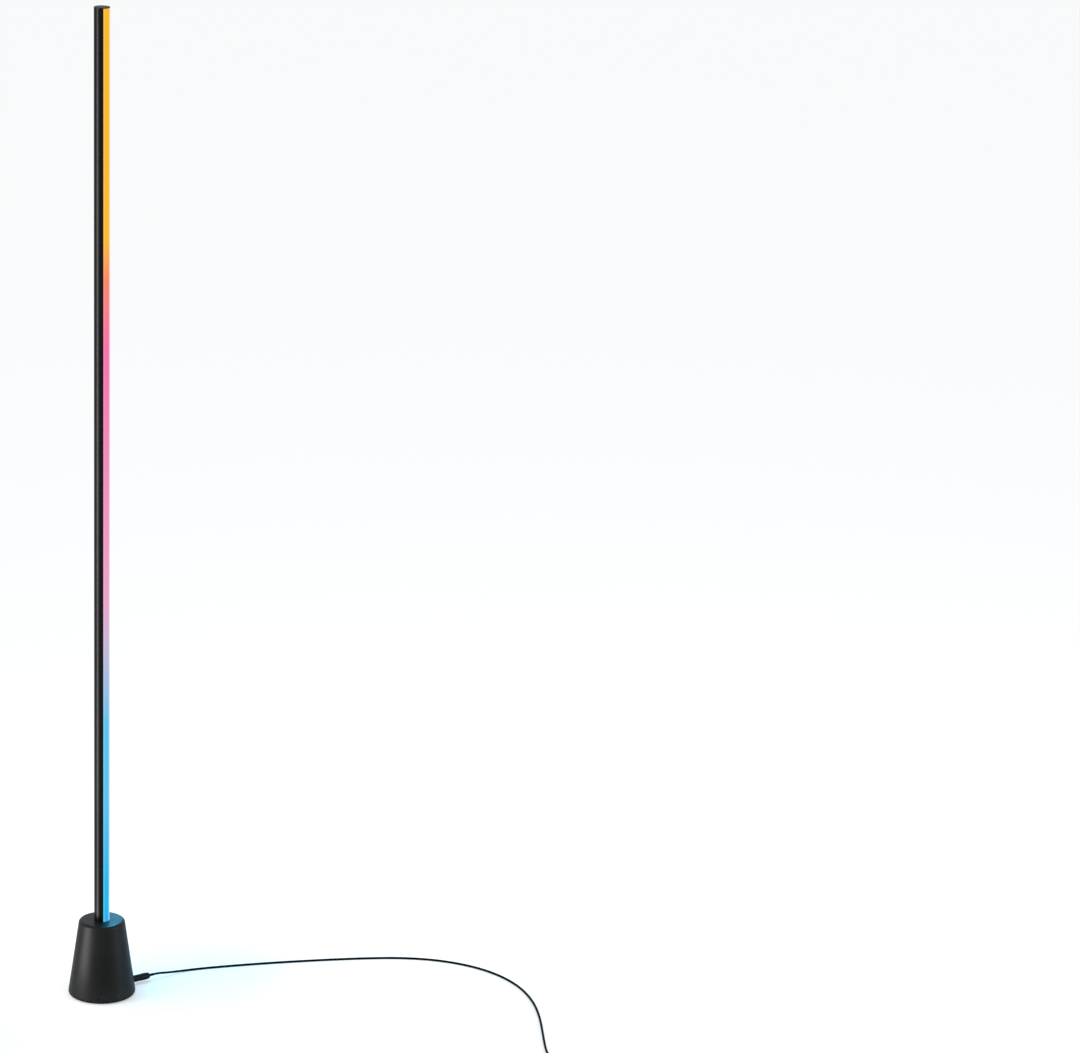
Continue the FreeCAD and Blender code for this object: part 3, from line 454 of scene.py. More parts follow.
@dataclass(frozen=True)
class PlatedMetal(Finish):
    """Plated or bare sheet metal with turning lines and light handling marks."""

    line: float = 0.2

    def surface(self, net: Net) -> dict[str | int, object]:
        """Paints the turning lines and the marks."""
        inputs = super().surface(net)
        lines = net.noise(self.line, 3.0)
        marks = net.noise(6.0, 4.0)
        inputs["Base Color"] = net.mix(marks.ramp(0.3, 0.7), self.shade(0.88), self.shade(1.05))
        inputs["Roughness"] = self.roughness + (marks - 0.5) * 0.25
        inputs["Metallic"] = 1.0
        inputs["Normal"] = net.bump(lines, 0.008)
        return inputs


@dataclass(frozen=True)
class CircuitBoard(Finish):
    """Coated circuit board: lighter tracks, and small tinned pads in rows.

    Attributes:
        pitch: How far apart tracks and pads lie, in millimetres.
        track: Half a track's width, as a share of the pitch.
        pad: The square of a pad's radius, as a share of the pitch.
    """

    pitch: float = 2.54
    track: float = 0.14
    pad: float = 0.05

    def surface(self, net: Net) -> dict[str | int, object]:
        """Paints tracks along both directions and the pads where they meet."""
        inputs = super().surface(net)
        x, y, _ = net.axes()
        across = abs((x / (self.pitch * MM)).fraction() - 0.5)
        along = abs((y / (self.pitch * MM)).fraction() - 0.5)
        choice = net.noise(7.0, 0.0)
        tracks = (self.track - across).above(0.0) * choice.above(0.5)
        tracks = tracks.most((self.track - along).above(0.0) * (1.0 - choice).above(0.5))
        spots = (self.pad - across * across - along * along).above(0.0)
        pads = spots * net.noise(4.0, 0.0).above(0.52)
        green = net.mix(tracks, self.colour, self.shade(1.8))
        inputs["Base Color"] = net.mix(pads, green, linear_colour(190, 190, 182))
        inputs["Metallic"] = pads
        inputs["Roughness"] = self.roughness - tracks * 0.08
        inputs["Normal"] = net.bump(tracks + pads, 0.03)
        return inputs


@dataclass(frozen=True)
class FoamRubber(Finish):
    """Closed-cell foam sheet: small round pores, with painted shade inside them."""

    pore: float = 0.6

    def surface(self, net: Net) -> dict[str | int, object]:
        """Paints the pores, darker inside as painted shade, and their bump."""
        inputs = super().surface(net)
        pores = net.cells(self.pore).ramp(0.15, 0.5)
        # Painted shade: the middle of each pore is darker, as if shade fell into it.
        inputs["Base Color"] = net.mix(pores, self.shade(0.5), self.shade(1.2))
        inputs["Normal"] = net.bump(pores, 0.08)
        return inputs


@dataclass(frozen=True)
class WovenStrap(Finish):
    """Hook-and-loop strap: a close weave with a soft nap."""

    thread: float = 0.45

    def surface(self, net: Net) -> dict[str | int, object]:
        """Paints the weave and the nap."""
        inputs = super().surface(net)
        x, y, z = net.axes()
        turn = 2 * math.pi / (self.thread * MM)
        weave = ((x + y) * turn).sine() * ((z + x - y) * turn).sine() * 0.5 + 0.5
        nap = net.noise(0.25, 4.0)
        inputs["Base Color"] = net.mix(nap.ramp(0.35, 0.7), self.shade(0.6), self.shade(1.7))
        inputs["Normal"] = net.bump(weave * 0.7 + nap * 0.3, 0.12)
        inputs["Sheen Weight"] = 0.3
        return inputs


@dataclass(frozen=True)
class LightPackage(Finish):
    """Light-emitting package: a white case round a yellow window that shows as lit.

    Attributes:
        start: The height of the first package, in millimetres.
        pitch: How far apart the packages stand.
        window: The squares of the window's outer and inner radius.
    """

    start: float = 124.0
    pitch: float = 19.0
    window: tuple[float, float] = (4.6, 3.6)

    def surface(self, net: Net) -> dict[str | int, object]:
        """Paints the window in the middle of each package."""
        inputs = super().surface(net)
        x, _, z = net.axes()
        step = ((z - (self.start - self.pitch / 2) * MM) / (self.pitch * MM)).fraction() - 0.5
        up = step * self.pitch
        reach = (x / MM) * (x / MM) + up * up
        window = reach.ramp(*self.window)
        inputs["Base Color"] = net.mix(window, self.colour, linear_colour(236, 205, 92))
        inputs["Emission Color"] = net.mix(window, BLACK, linear_colour(255, 240, 200))
        inputs["Emission Strength"] = 0.6
        inputs["Normal"] = net.bump(1.0 - window, 0.2)
        return inputs


@dataclass(frozen=True)
class GlowingOpal(Finish):
    """Opal cover lit from behind: the hue changes down the bar, and its rear is paler from a painted
    reflection of the white surroundings.

    Attributes:
        levels: Height in millimetres and hue, lowest first.
        strength: How bright the cover is.
        body: How much of the hue shows as the plastic's own colour.
        edge: Where along Y the cover starts to pale towards the channel, and ends.
        edge_white: How much white it gains there.
        rear: Where along Y the painted reflection of the white surroundings starts to pale the cover,
            and ends.
        rear_white: How much white that painted reflection adds there.
    """

    levels: tuple[tuple[float, Hue], ...] = ()
    strength: float = 1.0
    body: float = 0.03
    edge: tuple[float, float] = (0.5, -3.0)
    edge_white: float = 0.08
    rear: tuple[float, float] = (3.0, 11.0)
    rear_white: float = 0.5

    def surface(self, net: Net) -> dict[str | int, object]:
        """Paints the hues by height, paler beside the dark channel, and paler towards the rear with a
        painted reflection of the white surroundings.
        """
        inputs = super().surface(net)
        _, y, z = net.axes()
        low, high = self.levels[0][0], self.levels[-1][0]
        stops = [((level - low) / (high - low), hue.linear()) for level, hue in self.levels]
        share = (z - low * MM) / ((high - low) * MM)
        hue = net.out("ShaderNodeValToRGB", {"stops": stops}, {"Fac": share})
        beside = y.ramp(self.edge[0] * MM, self.edge[1] * MM) * self.edge_white
        # Painted reflection: the rear pales towards white in the emitted colour, as if it mirrored the
        # white surroundings at a grazing angle.
        behind = y.ramp(self.rear[0] * MM, self.rear[1] * MM) * self.rear_white
        glow_with_painted_reflection = net.mix(beside + behind, hue, WHITE)
        inputs["Base Color"] = net.mix(self.body, BLACK, hue)
        inputs["Emission Color"] = glow_with_painted_reflection
        inputs["Emission Strength"] = self.strength
        inputs["Roughness"] = self.roughness + (net.noise(1.5, 2.0) - 0.5) * 0.06
        inputs["Normal"] = net.bump(net.noise(0.2, 2.0, net.stretched(1.0, 1.0, 0.01)), 0.003)
        return inputs


# ---------------------------------------------------------------- mesh helpers


class Workshop:
    """Builds meshes from plain descriptions, in millimetres."""

    @staticmethod
    def mesh(name: str, build: Callable[[bmesh.types.BMesh], None], place: Matrix) -> bpy.types.Object:
        """Makes one object.

        Args:
            name: The piece's name.
            build: Fills an empty mesh, in millimetres.
            place: Where the piece stands in the lamp's frame, in millimetres.

        Returns:
            The object, linked to the scene.
        """
        form = bmesh.new()
        build(form)
        form.transform(Matrix.Scale(MM, 4) @ place)
        bmesh.ops.recalc_face_normals(form, faces=form.faces)
        data = bpy.data.meshes.new(name)
        form.to_mesh(data)
        form.free()
        for polygon in data.polygons:
            polygon.use_smooth = True
        piece = bpy.data.objects.new(name, data)
        bpy.context.scene.collection.objects.link(piece)
        return piece

    @staticmethod
    def skin(form: bmesh.types.BMesh, rings: Sequence[Sequence[Vector]], closed: bool = False) -> None:
        """Joins rings of points into a closed skin.

        Args:
            form: The mesh to fill.
            rings: Rings with the same number of points.
            closed: Whether the last ring joins the first. If not, both ends are capped.
        """
        rows = [[form.verts.new(point) for point in ring] for ring in rings]
        pairs = list(zip(rows, rows[1:]))
        if closed:
            pairs.append((rows[-1], rows[0]))
        for row, after in pairs:
            for i in range(len(row)):
                j = (i + 1) % len(row)
                form.faces.new((row[i], row[j], after[j], after[i]))
        if not closed:
            form.faces.new(rows[0])
            form.faces.new(rows[-1])

    @classmethod
    def round_form(
        cls,
        name: str,
        stations: Sequence[float],
        radius: Callable[[float, float], float],
        place: Matrix,
        sides: int = 48,
    ) -> bpy.types.Object:
        """A form round an axis, whose radius may change round it as well as along it.

        Args:
            name: The piece's name.
            stations: Distances along the local X axis.
            radius: The radius at a distance and an angle.
            place: Where the local frame stands.
            sides: How many points go round.

        Returns:
            The object.
        """
        angles = [2 * math.pi * i / sides for i in range(sides)]

        def ring(along: float) -> list[Vector]:
            """The ring of points at one distance."""
            return [
                Vector((along, radius(along, a) * math.cos(a), radius(along, a) * math.sin(a)))
                for a in angles
            ]

        return cls.mesh(name, lambda form: cls.skin(form, [ring(s) for s in stations]), place)


def between(value: float, low: float, high: float) -> float:
    """Rises smoothly from 0 at low to 1 at high.

    Args:
        value: The value to place.
        low: Where the rise starts.
        high: Where the rise ends.

    Returns:
        The share of the rise.
    """
    share = min(1.0, max(0.0, (value - low) / (high - low)))
    return share * share * (3 - 2 * share)


def along_profile(distance: float, profile: Sequence[tuple[float, float]]) -> float:
    """Reads a radius off a profile of straight lines.

    Args:
        distance: Where to read it.
        profile: Pairs of distance and radius, lowest distance first.

    Returns:
        The radius there.
    """
    for (start, first), (end, second) in zip(profile, profile[1:]):
        if distance <= end:
            return first + (second - first) * (distance - start) / max(end - start, 1e-9)
    return profile[-1][1]


def stations(start: float, stop: float, step: float) -> list[float]:
    """Even distances along a piece.

    Args:
        start: The first distance.
        stop: Where they stop, which is left out.
        step: How far apart they are.

    Returns:
        The distances, lowest first.
    """
    return [start + step * i for i in range(math.ceil((stop - start) / step))]


@dataclass(frozen=True)
class Slots:
    """The slots of a flexible sleeve, each a quarter turn from the last.

    Attributes:
        start: Where the first slot starts, in millimetres.
        count: How many slots there are.
        pitch: How far apart they are.
        depth: How deep they are.
    """

    start: float
    count: int
    pitch: float
    depth: float

    def cut(self, distance: float, angle: float) -> float:
        """How much the slots take off the radius at one place.

        Args:
            distance: Along the sleeve.
            angle: Round it.

        Returns:
            The depth there in millimetres.
        """
        number = math.floor((distance - self.start) / self.pitch)
        if not 0 <= number < self.count:
            return 0.0
        into = (distance - self.start) / self.pitch - number
        slot = between(into, 0.12, 0.28) * (1 - between(into, 0.62, 0.78))
        quarter = angle + (math.pi / 2 if number % 2 else 0.0)
        return self.depth * (slot * between(abs(math.cos(quarter)), 0.18, 0.42))


# ---------------------------------------------------------------- sub-assemblies


@dataclass
class Station:
    """The camera of the reference view, placed from the lamp's foot.

    Attributes:
        azimuth: Where it stands round the lamp, in degrees.
        distance: How far away it stands, in metres.
        height: How high it stands, in metres.
        yaw: How far it turns to the right, in radians.
        pitch: How far it looks down, in radians.
        roll: How far it leans, in radians.
        lens: Its focal length on a 36 mm frame.
    """

    azimuth: float = 60.0
    distance: float = 5.6923
    height: float = 2.4
    yaw: float = 0.11235
    pitch: float = 0.28338
    roll: float = 0.0316
    lens: float = 134.87

    def build(self) -> bpy.types.Object:
        """Makes the camera and hands it to the scene."""
        turn = math.radians(self.azimuth)
        away = Vector((-math.sin(turn), math.cos(turn), 0))
        right = Vector((math.cos(turn), math.sin(turn), 0))
        level = right * math.sin(self.yaw) + away * math.cos(self.yaw)
        forward = level * math.cos(self.pitch) - Vector((0, 0, math.sin(self.pitch)))
        side = right * math.cos(self.yaw) - away * math.sin(self.yaw)
        up = side.cross(forward)
        leaning_side = side * math.cos(self.roll) + up * math.sin(self.roll)
        leaning_up = up * math.cos(self.roll) - side * math.sin(self.roll)
        camera = bpy.data.objects.new("camera", bpy.data.cameras.new("camera"))
        camera.data.sensor_width = 36.0
        camera.data.sensor_fit = "HORIZONTAL"
        camera.data.lens = self.lens
        camera.data.clip_start, camera.data.clip_end = 0.1, 200.0
        axes = Matrix((leaning_side, leaning_up, -forward)).transposed().to_4x4()
        place = -away * self.distance + Vector((0, 0, self.height))
        camera.matrix_world = Matrix.Translation(place) @ axes
        bpy.context.scene.collection.objects.link(camera)
        bpy.context.scene.camera = camera
        return camera


@dataclass
class CordSet:
    """The lead with its plug, its put-away coil and the wall adapter.

    Attributes:
        diameter: The cord's diameter in millimetres.
        port_height: How high the plug lies.
        port_face: How far from the lamp's axis the plug's grip starts.
        grip_end: Where the grip ends and its sleeve starts.
        relief_end: Where the sleeve ends and the cord starts.
        lead: The route from the plug to the coil.
        coil_heading: The direction in which the lead enters the coil, in degrees.
        coil_outer: The radius of the coil's first half turn.
        pitch: How far apart the turns and the layers lie.
        turns_in: Half turns that spiral in.
        turns_out: Half turns that spiral out on top.
        tail: From the coil's end, as (along, across, height).
        length: The cord's whole length; not used.
        half_steps: How many route points each half turn has.
        ridge_pitch: How far apart the grip's finger ridges are.
        ridge_depth: How deep the grip's finger hollows are.
        tie_corners: How square the tie's loop is, across and up: 1 is round and 0 is square.
    """

    diameter: float = 3.5
    port_height: float = 9.4
    port_face: float = 47.8
    grip_end: float = 82.5
    relief_end: float = 90.5
    lead: tuple[tuple[float, float, float], ...] = (
        (0, 90.5, 9.4),
        (0, 99.5, 9.3),
        (-0.7, 112, 7.0),
        (-2.3, 127, 4.4),
        (-2.5, 145, 2.5),
        (1.8, 168, 1.85),
        (13, 202.5, 1.85),
        (31.5, 253, 1.85),
        (52.5, 304.5, 1.85),
        (75, 355, 1.85),
        (101, 409, 1.85),
        (129.5, 458.5, 1.85),
        (166.5, 500.5, 1.85),
        (213.5, 531.5, 1.85),
        (266, 547, 1.85),
        (321, 546.5, 1.85),
        (376, 531, 1.85),
        (428, 505.5, 1.85),
        (479, 474, 1.85),
        (528.5, 443, 1.85),
        (558.8, 427.9, 2.65),
        (584.8, 412.9, 2.65),
    )
    coil_heading: float = -30.0
    coil_outer: float = 24.5
    pitch: float = 4.0
    turns_in: int = 6
    turns_out: int = 7
    tail: tuple[tuple[float, float, float], ...] = (
        (0, 0, 0),
        (15, 0, 0),
        (32, 5, 1.9),
        (46, 16, 4.9),
        (53, 32, 7.85),
        (53, 45, 7.85),
    )
    length: float = 1860.0
    jacket: CordJacket = CordJacket("cord_jacket", linear_colour(6, 6, 7), 0.6, 0.05)
    moulding: MouldedPlastic = MouldedPlastic(
        "plug_moulding", linear_colour(8, 8, 9), 0.5, 0.1, 0.35, 0.015
    )
    case: MouldedPlastic = MouldedPlastic(
        "adapter_case", linear_colour(18, 18, 19), 0.55, 0.25, 0.5, 0.04
    )
    strap: WovenStrap = WovenStrap("tie_weave", linear_colour(24, 24, 25), 0.85, 0.3)
    nickel: PlatedMetal = PlatedMetal("nickel_plate", (0.66, 0.64, 0.58, 1.0), 0.22)
    half_steps: int = 12
    ridge_pitch: float = 2.6
    ridge_depth: float = 0.5
    tie_corners: tuple[float, float] = (0.28, 0.42)

    def heading(self) -> Vector:
        """The direction in which the lead enters the coil."""
        turn = math.radians(self.coil_heading)
        return Vector((math.cos(turn), math.sin(turn), 0))

    def coil_points(self) -> tuple[list[Vector], Vector, Vector]:
        """The coil's points and the place where it ends.

        Returns:
            The points, the end of the coil's last straight, and the cord's direction there.
        """
        step = math.pi / self.half_steps
        radii = [self.coil_outer - i * self.pitch / 2 for i in range(self.turns_in + 1)]
        radii += [radii[-1] + (i + 1) * self.pitch / 2 for i in range(self.turns_out)]
        heading = self.heading()
        place = Vector(self.lead[-1]) + heading * self.diameter
        points = []
        for turn, radius in enumerate(radii):
            side = Vector((-heading.y, heading.x, 0))
            centre = place + side * radius
            for k in range(self.half_steps):
                angle = (k + 0.5) * step
                reach = radius / math.cos(step / 2)
                point = centre + (heading * math.sin(angle) - side * math.cos(angle)) * reach
                if turn == self.turns_in:
                    point.z += self.pitch * between(k + 0.5, 0, self.half_steps)
                points.append(point)
            rise = self.pitch if turn == self.turns_in else 0.0
            place = place + side * (2 * radius) + Vector((0, 0, rise))
            heading = -heading
        return points, place + heading * self.diameter, heading

    def route(self) -> list[Vector]:
        """Every point of the cord, from the plug to the adapter."""
        coil, end, heading = self.coil_points()
        side = Vector((-heading.y, heading.x, 0))
        tail = [end + heading * a + side * b + Vector((0, 0, c)) for a, b, c in self.tail]
        return [Vector(point) for point in self.lead] + coil + tail

    def build_cord(self) -> bpy.types.Object:
        """Makes the whole cord as one smooth line."""
        curve = bpy.data.curves.new("cord", "CURVE")
        curve.dimensions = "3D"
        spline = curve.splines.new("NURBS")
        route = self.route()
        spline.points.add(len(route) - 1)
        for point, place in zip(spline.points, route):
            point.co = (*(place * MM), 1.0)
        spline.order_u = 3
        spline.use_endpoint_u = True
        spline.resolution_u = 6
        curve.bevel_depth = self.diameter / 2 * MM
        curve.bevel_resolution = 4
        curve.use_fill_caps = True
        cord = bpy.data.objects.new("cord", curve)
        bpy.context.scene.collection.objects.link(cord)
        cord.data.materials.append(self.jacket.material())
        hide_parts("cord_lead", "cord_coil", "cord_tail")
        return cord

    def adapter_place(self) -> Matrix:
        """Where the adapter's own frame stands: its gland's tip, with X into the case."""
        route = self.route()
        tip, run = route[-1], route[-1] - route[-2]
        turn = Matrix.Rotation(math.atan2(run.y, run.x), 4, "Z")
        return Matrix.Translation((tip.x, tip.y, tip.z)) @ turn

    def build_plug(self) -> bpy.types.Object:
        """Makes the plug's moulded grip, with finger ridges on two sides and a slotted sleeve."""
        front, end, tip = self.port_face, self.grip_end, self.relief_end
        profile = (
            (front, 4.9),
            (front + 0.6, 5.4),
            (end - 10.0, 5.35),
            (end - 5.0, 5.1),
            (end - 2.0, 4.7),
            (end - 0.6, 3.9),
            (end, 2.7),
            (end + 0.1, 2.3),
            (tip, 2.0),
        )
        slots = Slots(start=end + 0.6, count=4, pitch=1.7, depth=0.4)

        def radius(distance: float, angle: float) -> float:
            """The grip's radius at one place."""
            value = along_profile(distance, profile)
            pad = abs(math.sin(angle)) ** 4 * between(distance, front + 5, front + 8)
            pad *= 1 - between(distance, end - 16, end - 12)
            ridge = 0.5 + 0.5 * math.cos(2 * math.pi * (distance - front) / self.ridge_pitch)
            value -= self.ridge_depth * pad * (0.55 + 0.45 * ridge)
            return value - slots.cut(distance, angle)

        steps = stations(front, end, 0.2) + stations(end, tip, 0.16)
        place = Matrix.Translation((0, 0, self.port_height)) @ Matrix.Rotation(math.pi / 2, 4, "Z")
        grip = Workshop.round_form("plug_handle", [*steps, tip], radius, place)
        grip.data.materials.append(self.moulding.material())
        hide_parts("plug_grip")
        return grip

    def build_gland(self) -> bpy.types.Object:
        """Makes the slotted sleeve where the cord enters the adapter."""
        profile = ((0.0, 2.0), (0.5, 2.05), (12.6, 2.85), (13.2, 3.6), (14.0, 3.9), (18.2, 3.9))
        slots = Slots(start=1.2, count=6, pitch=1.8, depth=0.5)

        def radius(distance: float, angle: float) -> float:
            """The sleeve's radius at one place."""
            return along_profile(distance, profile) - slots.cut(distance, angle)

        steps = stations(0.0, profile[-1][0], 0.15)
        sleeve = Workshop.round_form("adapter_sleeve", steps, radius, self.adapter_place())
        sleeve.data.materials.append(self.moulding.material())
        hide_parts("adapter_gland")
        return sleeve

    def build_tie(self) -> bpy.types.Object:
        """Makes the strap round the coil, one closed loop."""
        inner, outer = self.coil_outer - self.turns_in * self.pitch / 2, self.coil_outer
        left, right = inner - self.diameter / 2 - 0.5, outer + self.diameter / 2 + 0.3
        low, high = 0.8, self.lead[-1][2] + self.pitch + self.diameter / 2 + 0.2
        centre = Vector(((left + right) / 2, 0, (low + high) / 2))
        half = Vector(((right - left) / 2, 0, (high - low) / 2))
        count = 96

        def point(share: float, out: float, side: float) -> Vector:
            """A point of the strap: how far round, how far out, and which edge."""
            angle = 2 * math.pi * share
            x, z = math.cos(angle), math.sin(angle)
            x = math.copysign(abs(x) ** self.tie_corners[0], x) * (half.x + out)
            z = math.copysign(abs(z) ** self.tie_corners[1], z) * (half.z + out)
            return centre + Vector((x, side, z))

        section = [(0.1, -2.9), (0.0, -2.6), (0.0, 2.6), (0.1, 2.9)]
        section += [(0.5, 3.0), (0.7, 2.7), (0.7, -2.7), (0.5, -3.0)]

        def build(form: bmesh.types.BMesh) -> None:
            """Lays the strap round the coil."""
            ring = [[point(i / count, out, side) for out, side in section] for i in range(count)]
            Workshop.skin(form, ring, closed=True)

        turn = self.coil_heading - 15
        heading = self.heading()
        side = Vector((-heading.y, heading.x, 0))
        middle = Vector(self.lead[-1]) + heading * self.diameter + side * self.coil_outer
        turned = Matrix.Rotation(math.radians(turn), 4, "Z")
        place = Matrix.Translation((middle.x, middle.y, 0)) @ turned
        strap = Workshop.mesh("tie_strap", build, place)
        strap.data.materials.append(self.strap.material())
        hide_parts("cord_tie")
        return strap

    def build(self) -> None:
        cord = self.build_cord()
        others = [self.build_plug(), self.build_gland(), self.build_tie()]
        for piece in (cord, *others):
            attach(piece, Body.CORD_SET.value)
            log.info("%s rides on %s", piece.name, Body.CORD_SET.value)
        dress("plug_barrel", self.nickel)
        dress("adapter_pins", self.nickel)
        dress("adapter_shell", self.case)
        dress("adapter_face", self.case)
        dress("adapter_board", CIRCUIT)
        dress("adapter_transformer", FERRITE)
        dress("adapter_capacitor", CAN)


CIRCUIT = CircuitBoard("circuit_board", linear_colour(22, 92, 48), 0.35)
FERRITE = MouldedPlastic("ferrite", linear_colour(40, 40, 42), 0.6, 0.4)
CAN = PlatedMetal("plain_can", (0.6, 0.6, 0.62, 1.0), 0.3)
ZINC = PlatedMetal("zinc_plate", (0.45, 0.45, 0.47, 1.0), 0.35)


def dress(node: str, finish: Finish) -> None:
    """Gives a CAD node a finish.

    Args:
        node: The node's name.
        finish: What it is finished with.
    """
    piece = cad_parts[node]
    piece.data.materials.clear()
    piece.data.materials.append(finish.material())
    log.info("%s finished as %s", node, finish.name)


@dataclass
class LightBar:
    """The upright bar: the dark channel in front, the glowing cover behind, and what is inside."""

    channel: DrawnAnodising = DrawnAnodising("black_anodising", linear_colour(8, 8, 8), 0.27, 0.1)
    cover: GlowingOpal = GlowingOpal(
        "lit_opal_cover",
        (0.8, 0.8, 0.8, 1.0),
        0.4,
        0.06,
        levels=(
            (112.0, Hue.AZURE),
            (180.0, Hue.AZURE),
            (310.0, Hue.SKY),
            (430.0, Hue.SKY),
            (545.0, Hue.LILAC),
            (620.0, Hue.ROSE),
            (1000.0, Hue.PINK),
            (1102.0, Hue.CORAL),
            (1160.0, Hue.AMBER),
            (1493.0, Hue.AMBER),
        ),
    )
    cap: MouldedPlastic = MouldedPlastic("cap_moulding", linear_colour(14, 14, 14), 0.5, 0.2)
    strip: MouldedPlastic = MouldedPlastic("white_strip", linear_colour(228, 228, 222), 0.45, 0.5)
    package: LightPackage = LightPackage("light_package", linear_colour(235, 235, 228), 0.4)
    foot: PlatedMetal = PlatedMetal("die_casting", (0.5, 0.5, 0.52, 1.0), 0.45)

    def build(self) -> None:
        """Dresses the bar's nodes."""
        dress("light_channel", self.channel)
        dress("diffuser", self.cover)
        dress("top_cap", self.cap)
        dress("led_strip", self.strip)
        dress("led_chips", self.package)
        dress("bar_foot", self.foot)
        dress("foot_screws", ZINC)


@dataclass
class WeightedBase:
    """The tapered base with its casting, its plate and the electronics in it."""

    coat: PowderCoat = PowderCoat("matt_powder_coat", linear_colour(16, 16, 16), 0.42, 0.12)
    iron: CastIron = CastIron("cast_iron", (0.2, 0.2, 0.2, 1.0), 0.7)
    plate: PowderCoat = PowderCoat("plate_paint", linear_colour(34, 34, 35), 0.5, 0.4)
    foam: FoamRubber = FoamRubber("foot_foam", linear_colour(30, 30, 31), 0.85, 0.3)
    nylon: MouldedPlastic = MouldedPlastic("natural_nylon", linear_colour(224, 222, 212), 0.45)
    jack: MouldedPlastic = MouldedPlastic("jack_moulding", linear_colour(24, 24, 25), 0.4)

    def build(self) -> None:
        """Dresses the base's nodes."""
        dress("base_shell", self.coat)
        dress("counterweight", self.iron)
        dress("bottom_plate", self.plate)
        dress("foot_pad", self.foam)
        dress("control_board", CIRCUIT)
        dress("choke_coil", FERRITE)
        dress("power_jack", self.jack)
        for node in ("board_posts", "cable_socket", "strip_cable"):
            dress(node, self.nylon)
        for node in ("radio_module", "capacitor"):
            dress(node, CAN)
        for node in ("plate_screws", "bar_bolt", "bolt_washer"):
            dress(node, ZINC)


@dataclass(frozen=True)
class Panel:
    """A soft rectangular lamp.

    Attributes:
        name: The lamp's name.
        place: Where it stands, in metres.
        target: Where it points.
        size: Its width and height in metres.
        power: Its power in watts.
        colour: Its colour.
    """

    name: str
    place: tuple[float, float, float]
    target: tuple[float, float, float]
    size: tuple[float, float]
    power: float
    colour: tuple[float, float, float] = WHITE[:3]

    def build(self) -> bpy.types.Object:
        """Makes the lamp, which the camera doesn't see."""
        data = bpy.data.lights.new(self.name, "AREA")
        data.shape = "RECTANGLE"
        data.size, data.size_y = self.size
        data.energy = self.power
        data.color = self.colour
        panel = bpy.data.objects.new(self.name, data)
        panel.location = self.place
        panel.rotation_mode = "QUATERNION"
        direction = Vector(self.target) - Vector(self.place)
        panel.rotation_quaternion = direction.to_track_quat("-Z", "Y")
        panel.visible_camera = False
        bpy.context.scene.collection.objects.link(panel)
        return panel


COOL = (0.8, 0.95, 1.0)
GLOW = Hue.AZURE.linear()[:3]


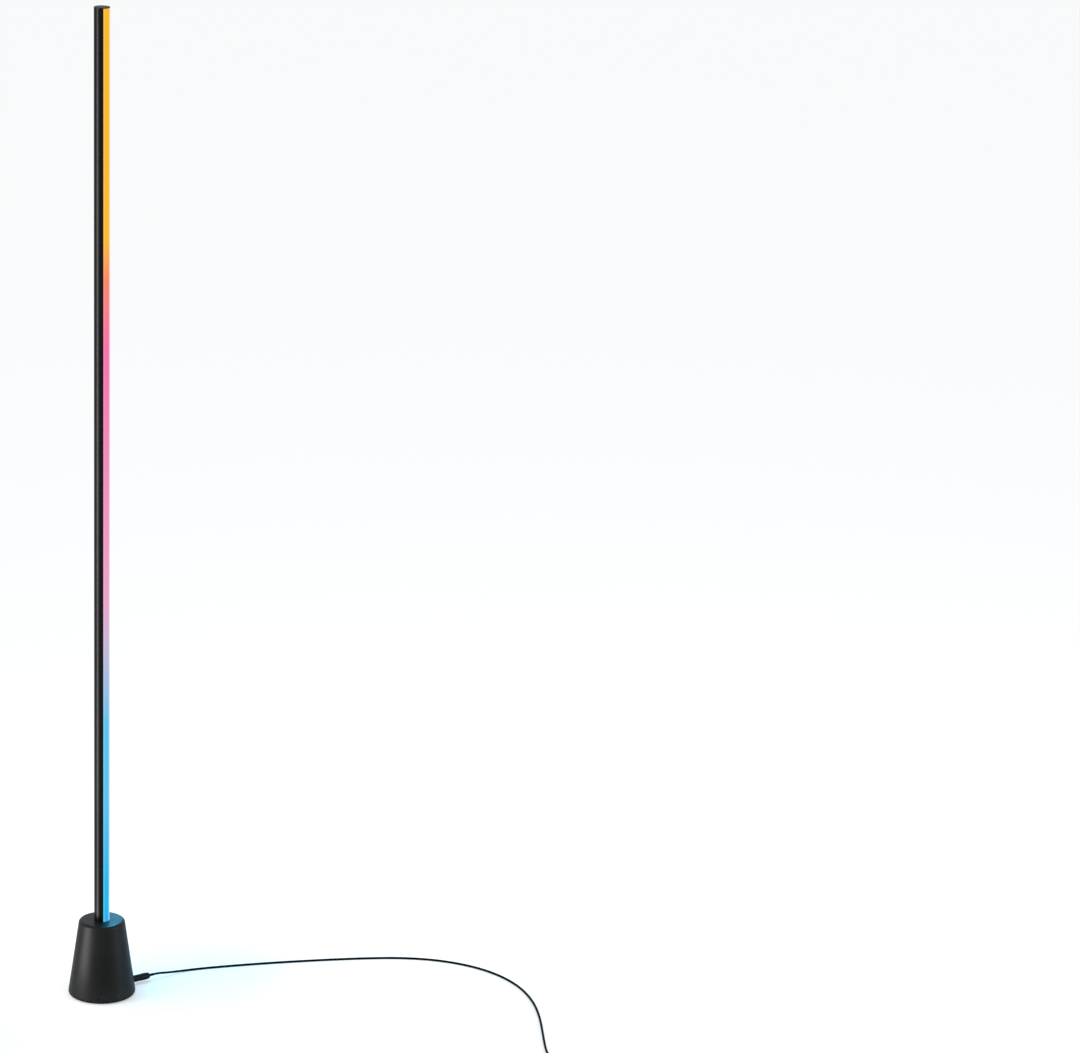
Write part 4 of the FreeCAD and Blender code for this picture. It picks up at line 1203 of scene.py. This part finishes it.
@dataclass
class Studio:
    """The pale floor with a painted pool of the bar's light, the white surroundings and soft lamps.

    Attributes:
        floor_radius: How far the floor reaches, in metres.
        floor_colour: The floor's own colour.
        painted_glow_centre: The middle of a pool of the bar's light painted on the floor.
        painted_glow_reach: How far that painted pool reaches, in metres.
        painted_glow_full: The square of the distance within which the painted pool is strongest.
        painted_glow_colour: The floor's colour painted in the pool, darker and bluer than the rest, as
            painted light.
        floor_lift: How much brighter the camera sees the floor.
        surround: How bright the surroundings are for the light that they give.
        front_steps: How far from the lamp each front panel starts and ends, in metres.
        front_slope: How steeply the row of front panels rises.
        front_width: How wide each front panel is, as a share of its distance.
        front_heading: The direction in which the row goes.
        front_glow: How bright the front panels are.
        panels: The other lamps: one from the right, and the bar's own light near its foot.
    """

    floor_radius: float = 60.0
    floor_colour: tuple[float, float, float, float] = (0.86, 0.87, 0.88, 1.0)
    painted_glow_centre: tuple[float, float] = (0.022, 0.138)
    painted_glow_reach: float = 0.21
    painted_glow_full: float = 0.003
    painted_glow_colour: tuple[float, float, float, float] = (0.68, 0.73, 0.78, 1.0)
    floor_lift: float = 0.3
    surround: float = 0.75
    front_steps: tuple[float, ...] = (0.2, 0.45, 0.9, 1.6, 2.6)
    front_slope: float = 0.52
    front_width: float = 0.45
    front_heading: tuple[float, float, float] = (-0.12, -0.99, 0)
    front_glow: float = 14.0
    panels: tuple[Panel, ...] = (
        Panel("fill_panel", (2.0, 1.7, 0.5), (0, 0, 0.1), (1.1, 0.9), 36, COOL),
        Panel("glow_low", (0, 0.0125, 0.3), (0, 1.0, 0.3), (0.012, 0.34), 1.6, GLOW),
        Panel("glow_foot", (0, 0.024, 0.158), (0, 0.026, 0.1), (0.03, 0.02), 0.15, GLOW),
        Panel("glow_top", (-0.041, 0.049, 0.14), (0.825, -0.451, 0.04), (0.03, 0.045), 0.022, GLOW),
    )

    def build_floor(self) -> bpy.types.Object:
        """Makes the floor, a wide disc, with a pool of the bar's light painted near the lamp."""
        form = bmesh.new()
        bmesh.ops.create_circle(form, cap_ends=True, segments=96, radius=self.floor_radius)
        data = bpy.data.meshes.new("floor")
        form.to_mesh(data)
        form.free()
        floor = bpy.data.objects.new("floor", data)
        bpy.context.scene.collection.objects.link(floor)
        material = bpy.data.materials.new("pale_floor")
        material.use_nodes = True
        net = Net(material.node_tree)
        x, y, _ = net.axes()
        # Painted light: near the lamp the floor's colour turns darker and bluer in a round pool,
        # standing in for the bar's blue light and the base's shade.
        across, along = x - self.painted_glow_centre[0], y - self.painted_glow_centre[1]
        painted_glow_pool = (across * across + along * along).ramp(self.painted_glow_reach**2, self.painted_glow_full)
        colour = net.mix(painted_glow_pool, self.floor_colour, self.painted_glow_colour)
        matt = net.out("ShaderNodeBsdfDiffuse", inputs={"Color": colour})
        lift = net.out("ShaderNodeEmission", inputs={"Color": WHITE, "Strength": self.floor_lift})
        nothing = net.out("ShaderNodeEmission", inputs={"Strength": 0.0})
        seen = net.out("ShaderNodeLightPath", output="Is Camera Ray")
        added = net.out("ShaderNodeMixShader", inputs={"Fac": seen, 1: nothing, 2: lift})
        net.finish(net.node("ShaderNodeAddShader", inputs={0: matt, 1: added}))
        data.materials.append(material)
        return floor

    def build_surround(self) -> None:
        """Makes the surroundings: white where they are seen, and soft light elsewhere."""
        world = bpy.data.worlds.new("white_surround")
        world.use_nodes = True
        bpy.context.scene.world = world
        net = Net(world.node_tree)
        path = net.node("ShaderNodeLightPath")
        kinds = ("Camera", "Glossy", "Transmission")
        rays = [Signal(net, path.outputs[f"Is {kind} Ray"]) for kind in kinds]
        seen = rays[0].most(rays[1]).most(rays[2])
        white = net.out("ShaderNodeBackground", inputs={"Color": WHITE, "Strength": 1.0})
        soft = net.out("ShaderNodeBackground", inputs={"Color": WHITE, "Strength": self.surround})
        both = net.node("ShaderNodeMixShader", inputs={"Fac": seen, 1: soft, 2: white})
        output = net.tree.nodes.new("ShaderNodeOutputWorld")
        net.tree.links.new(both.outputs[0], output.inputs["Surface"])

    def build_front_panels(self) -> None:
        """Stands a rising row of soft panels in front, each as wide as the last from the lamp."""
        heading = Vector(self.front_heading).normalized()
        for i, (near, far) in enumerate(zip(self.front_steps, self.front_steps[1:])):
            reach = (near + far) / 2
            low, high = ((step - self.front_steps[0]) * self.front_slope for step in (near, far))
            length = math.hypot(far - near, high - low)
            middle = heading * reach + Vector((0, 0, (low + high) / 2 + 0.01))
            facing = Vector((0, 0, 1)) - heading * self.front_slope
            size = (self.front_width * reach, length)
            power = self.front_glow * math.pi * size[0] * length
            Panel(f"front_panel_{i}", tuple(middle), tuple(middle + facing), size, power).build()

    def build(self) -> None:
        """Makes the whole studio."""
        self.build_floor()
        self.build_surround()
        self.build_front_panels()
        for panel in self.panels:
            panel.build()
        view = bpy.context.scene.view_settings
        view.view_transform = "Standard"
        log.info("studio ready")


def main() -> None:
    """Builds the camera, the cord, the rest of the lamp and the studio."""
    logging.basicConfig(level=logging.INFO, format="%(message)s")
    Station().build()
    CordSet().build()
    LightBar().build()
    WeightedBase().build()
    Studio().build()


if __name__ == "__main__":
    main()
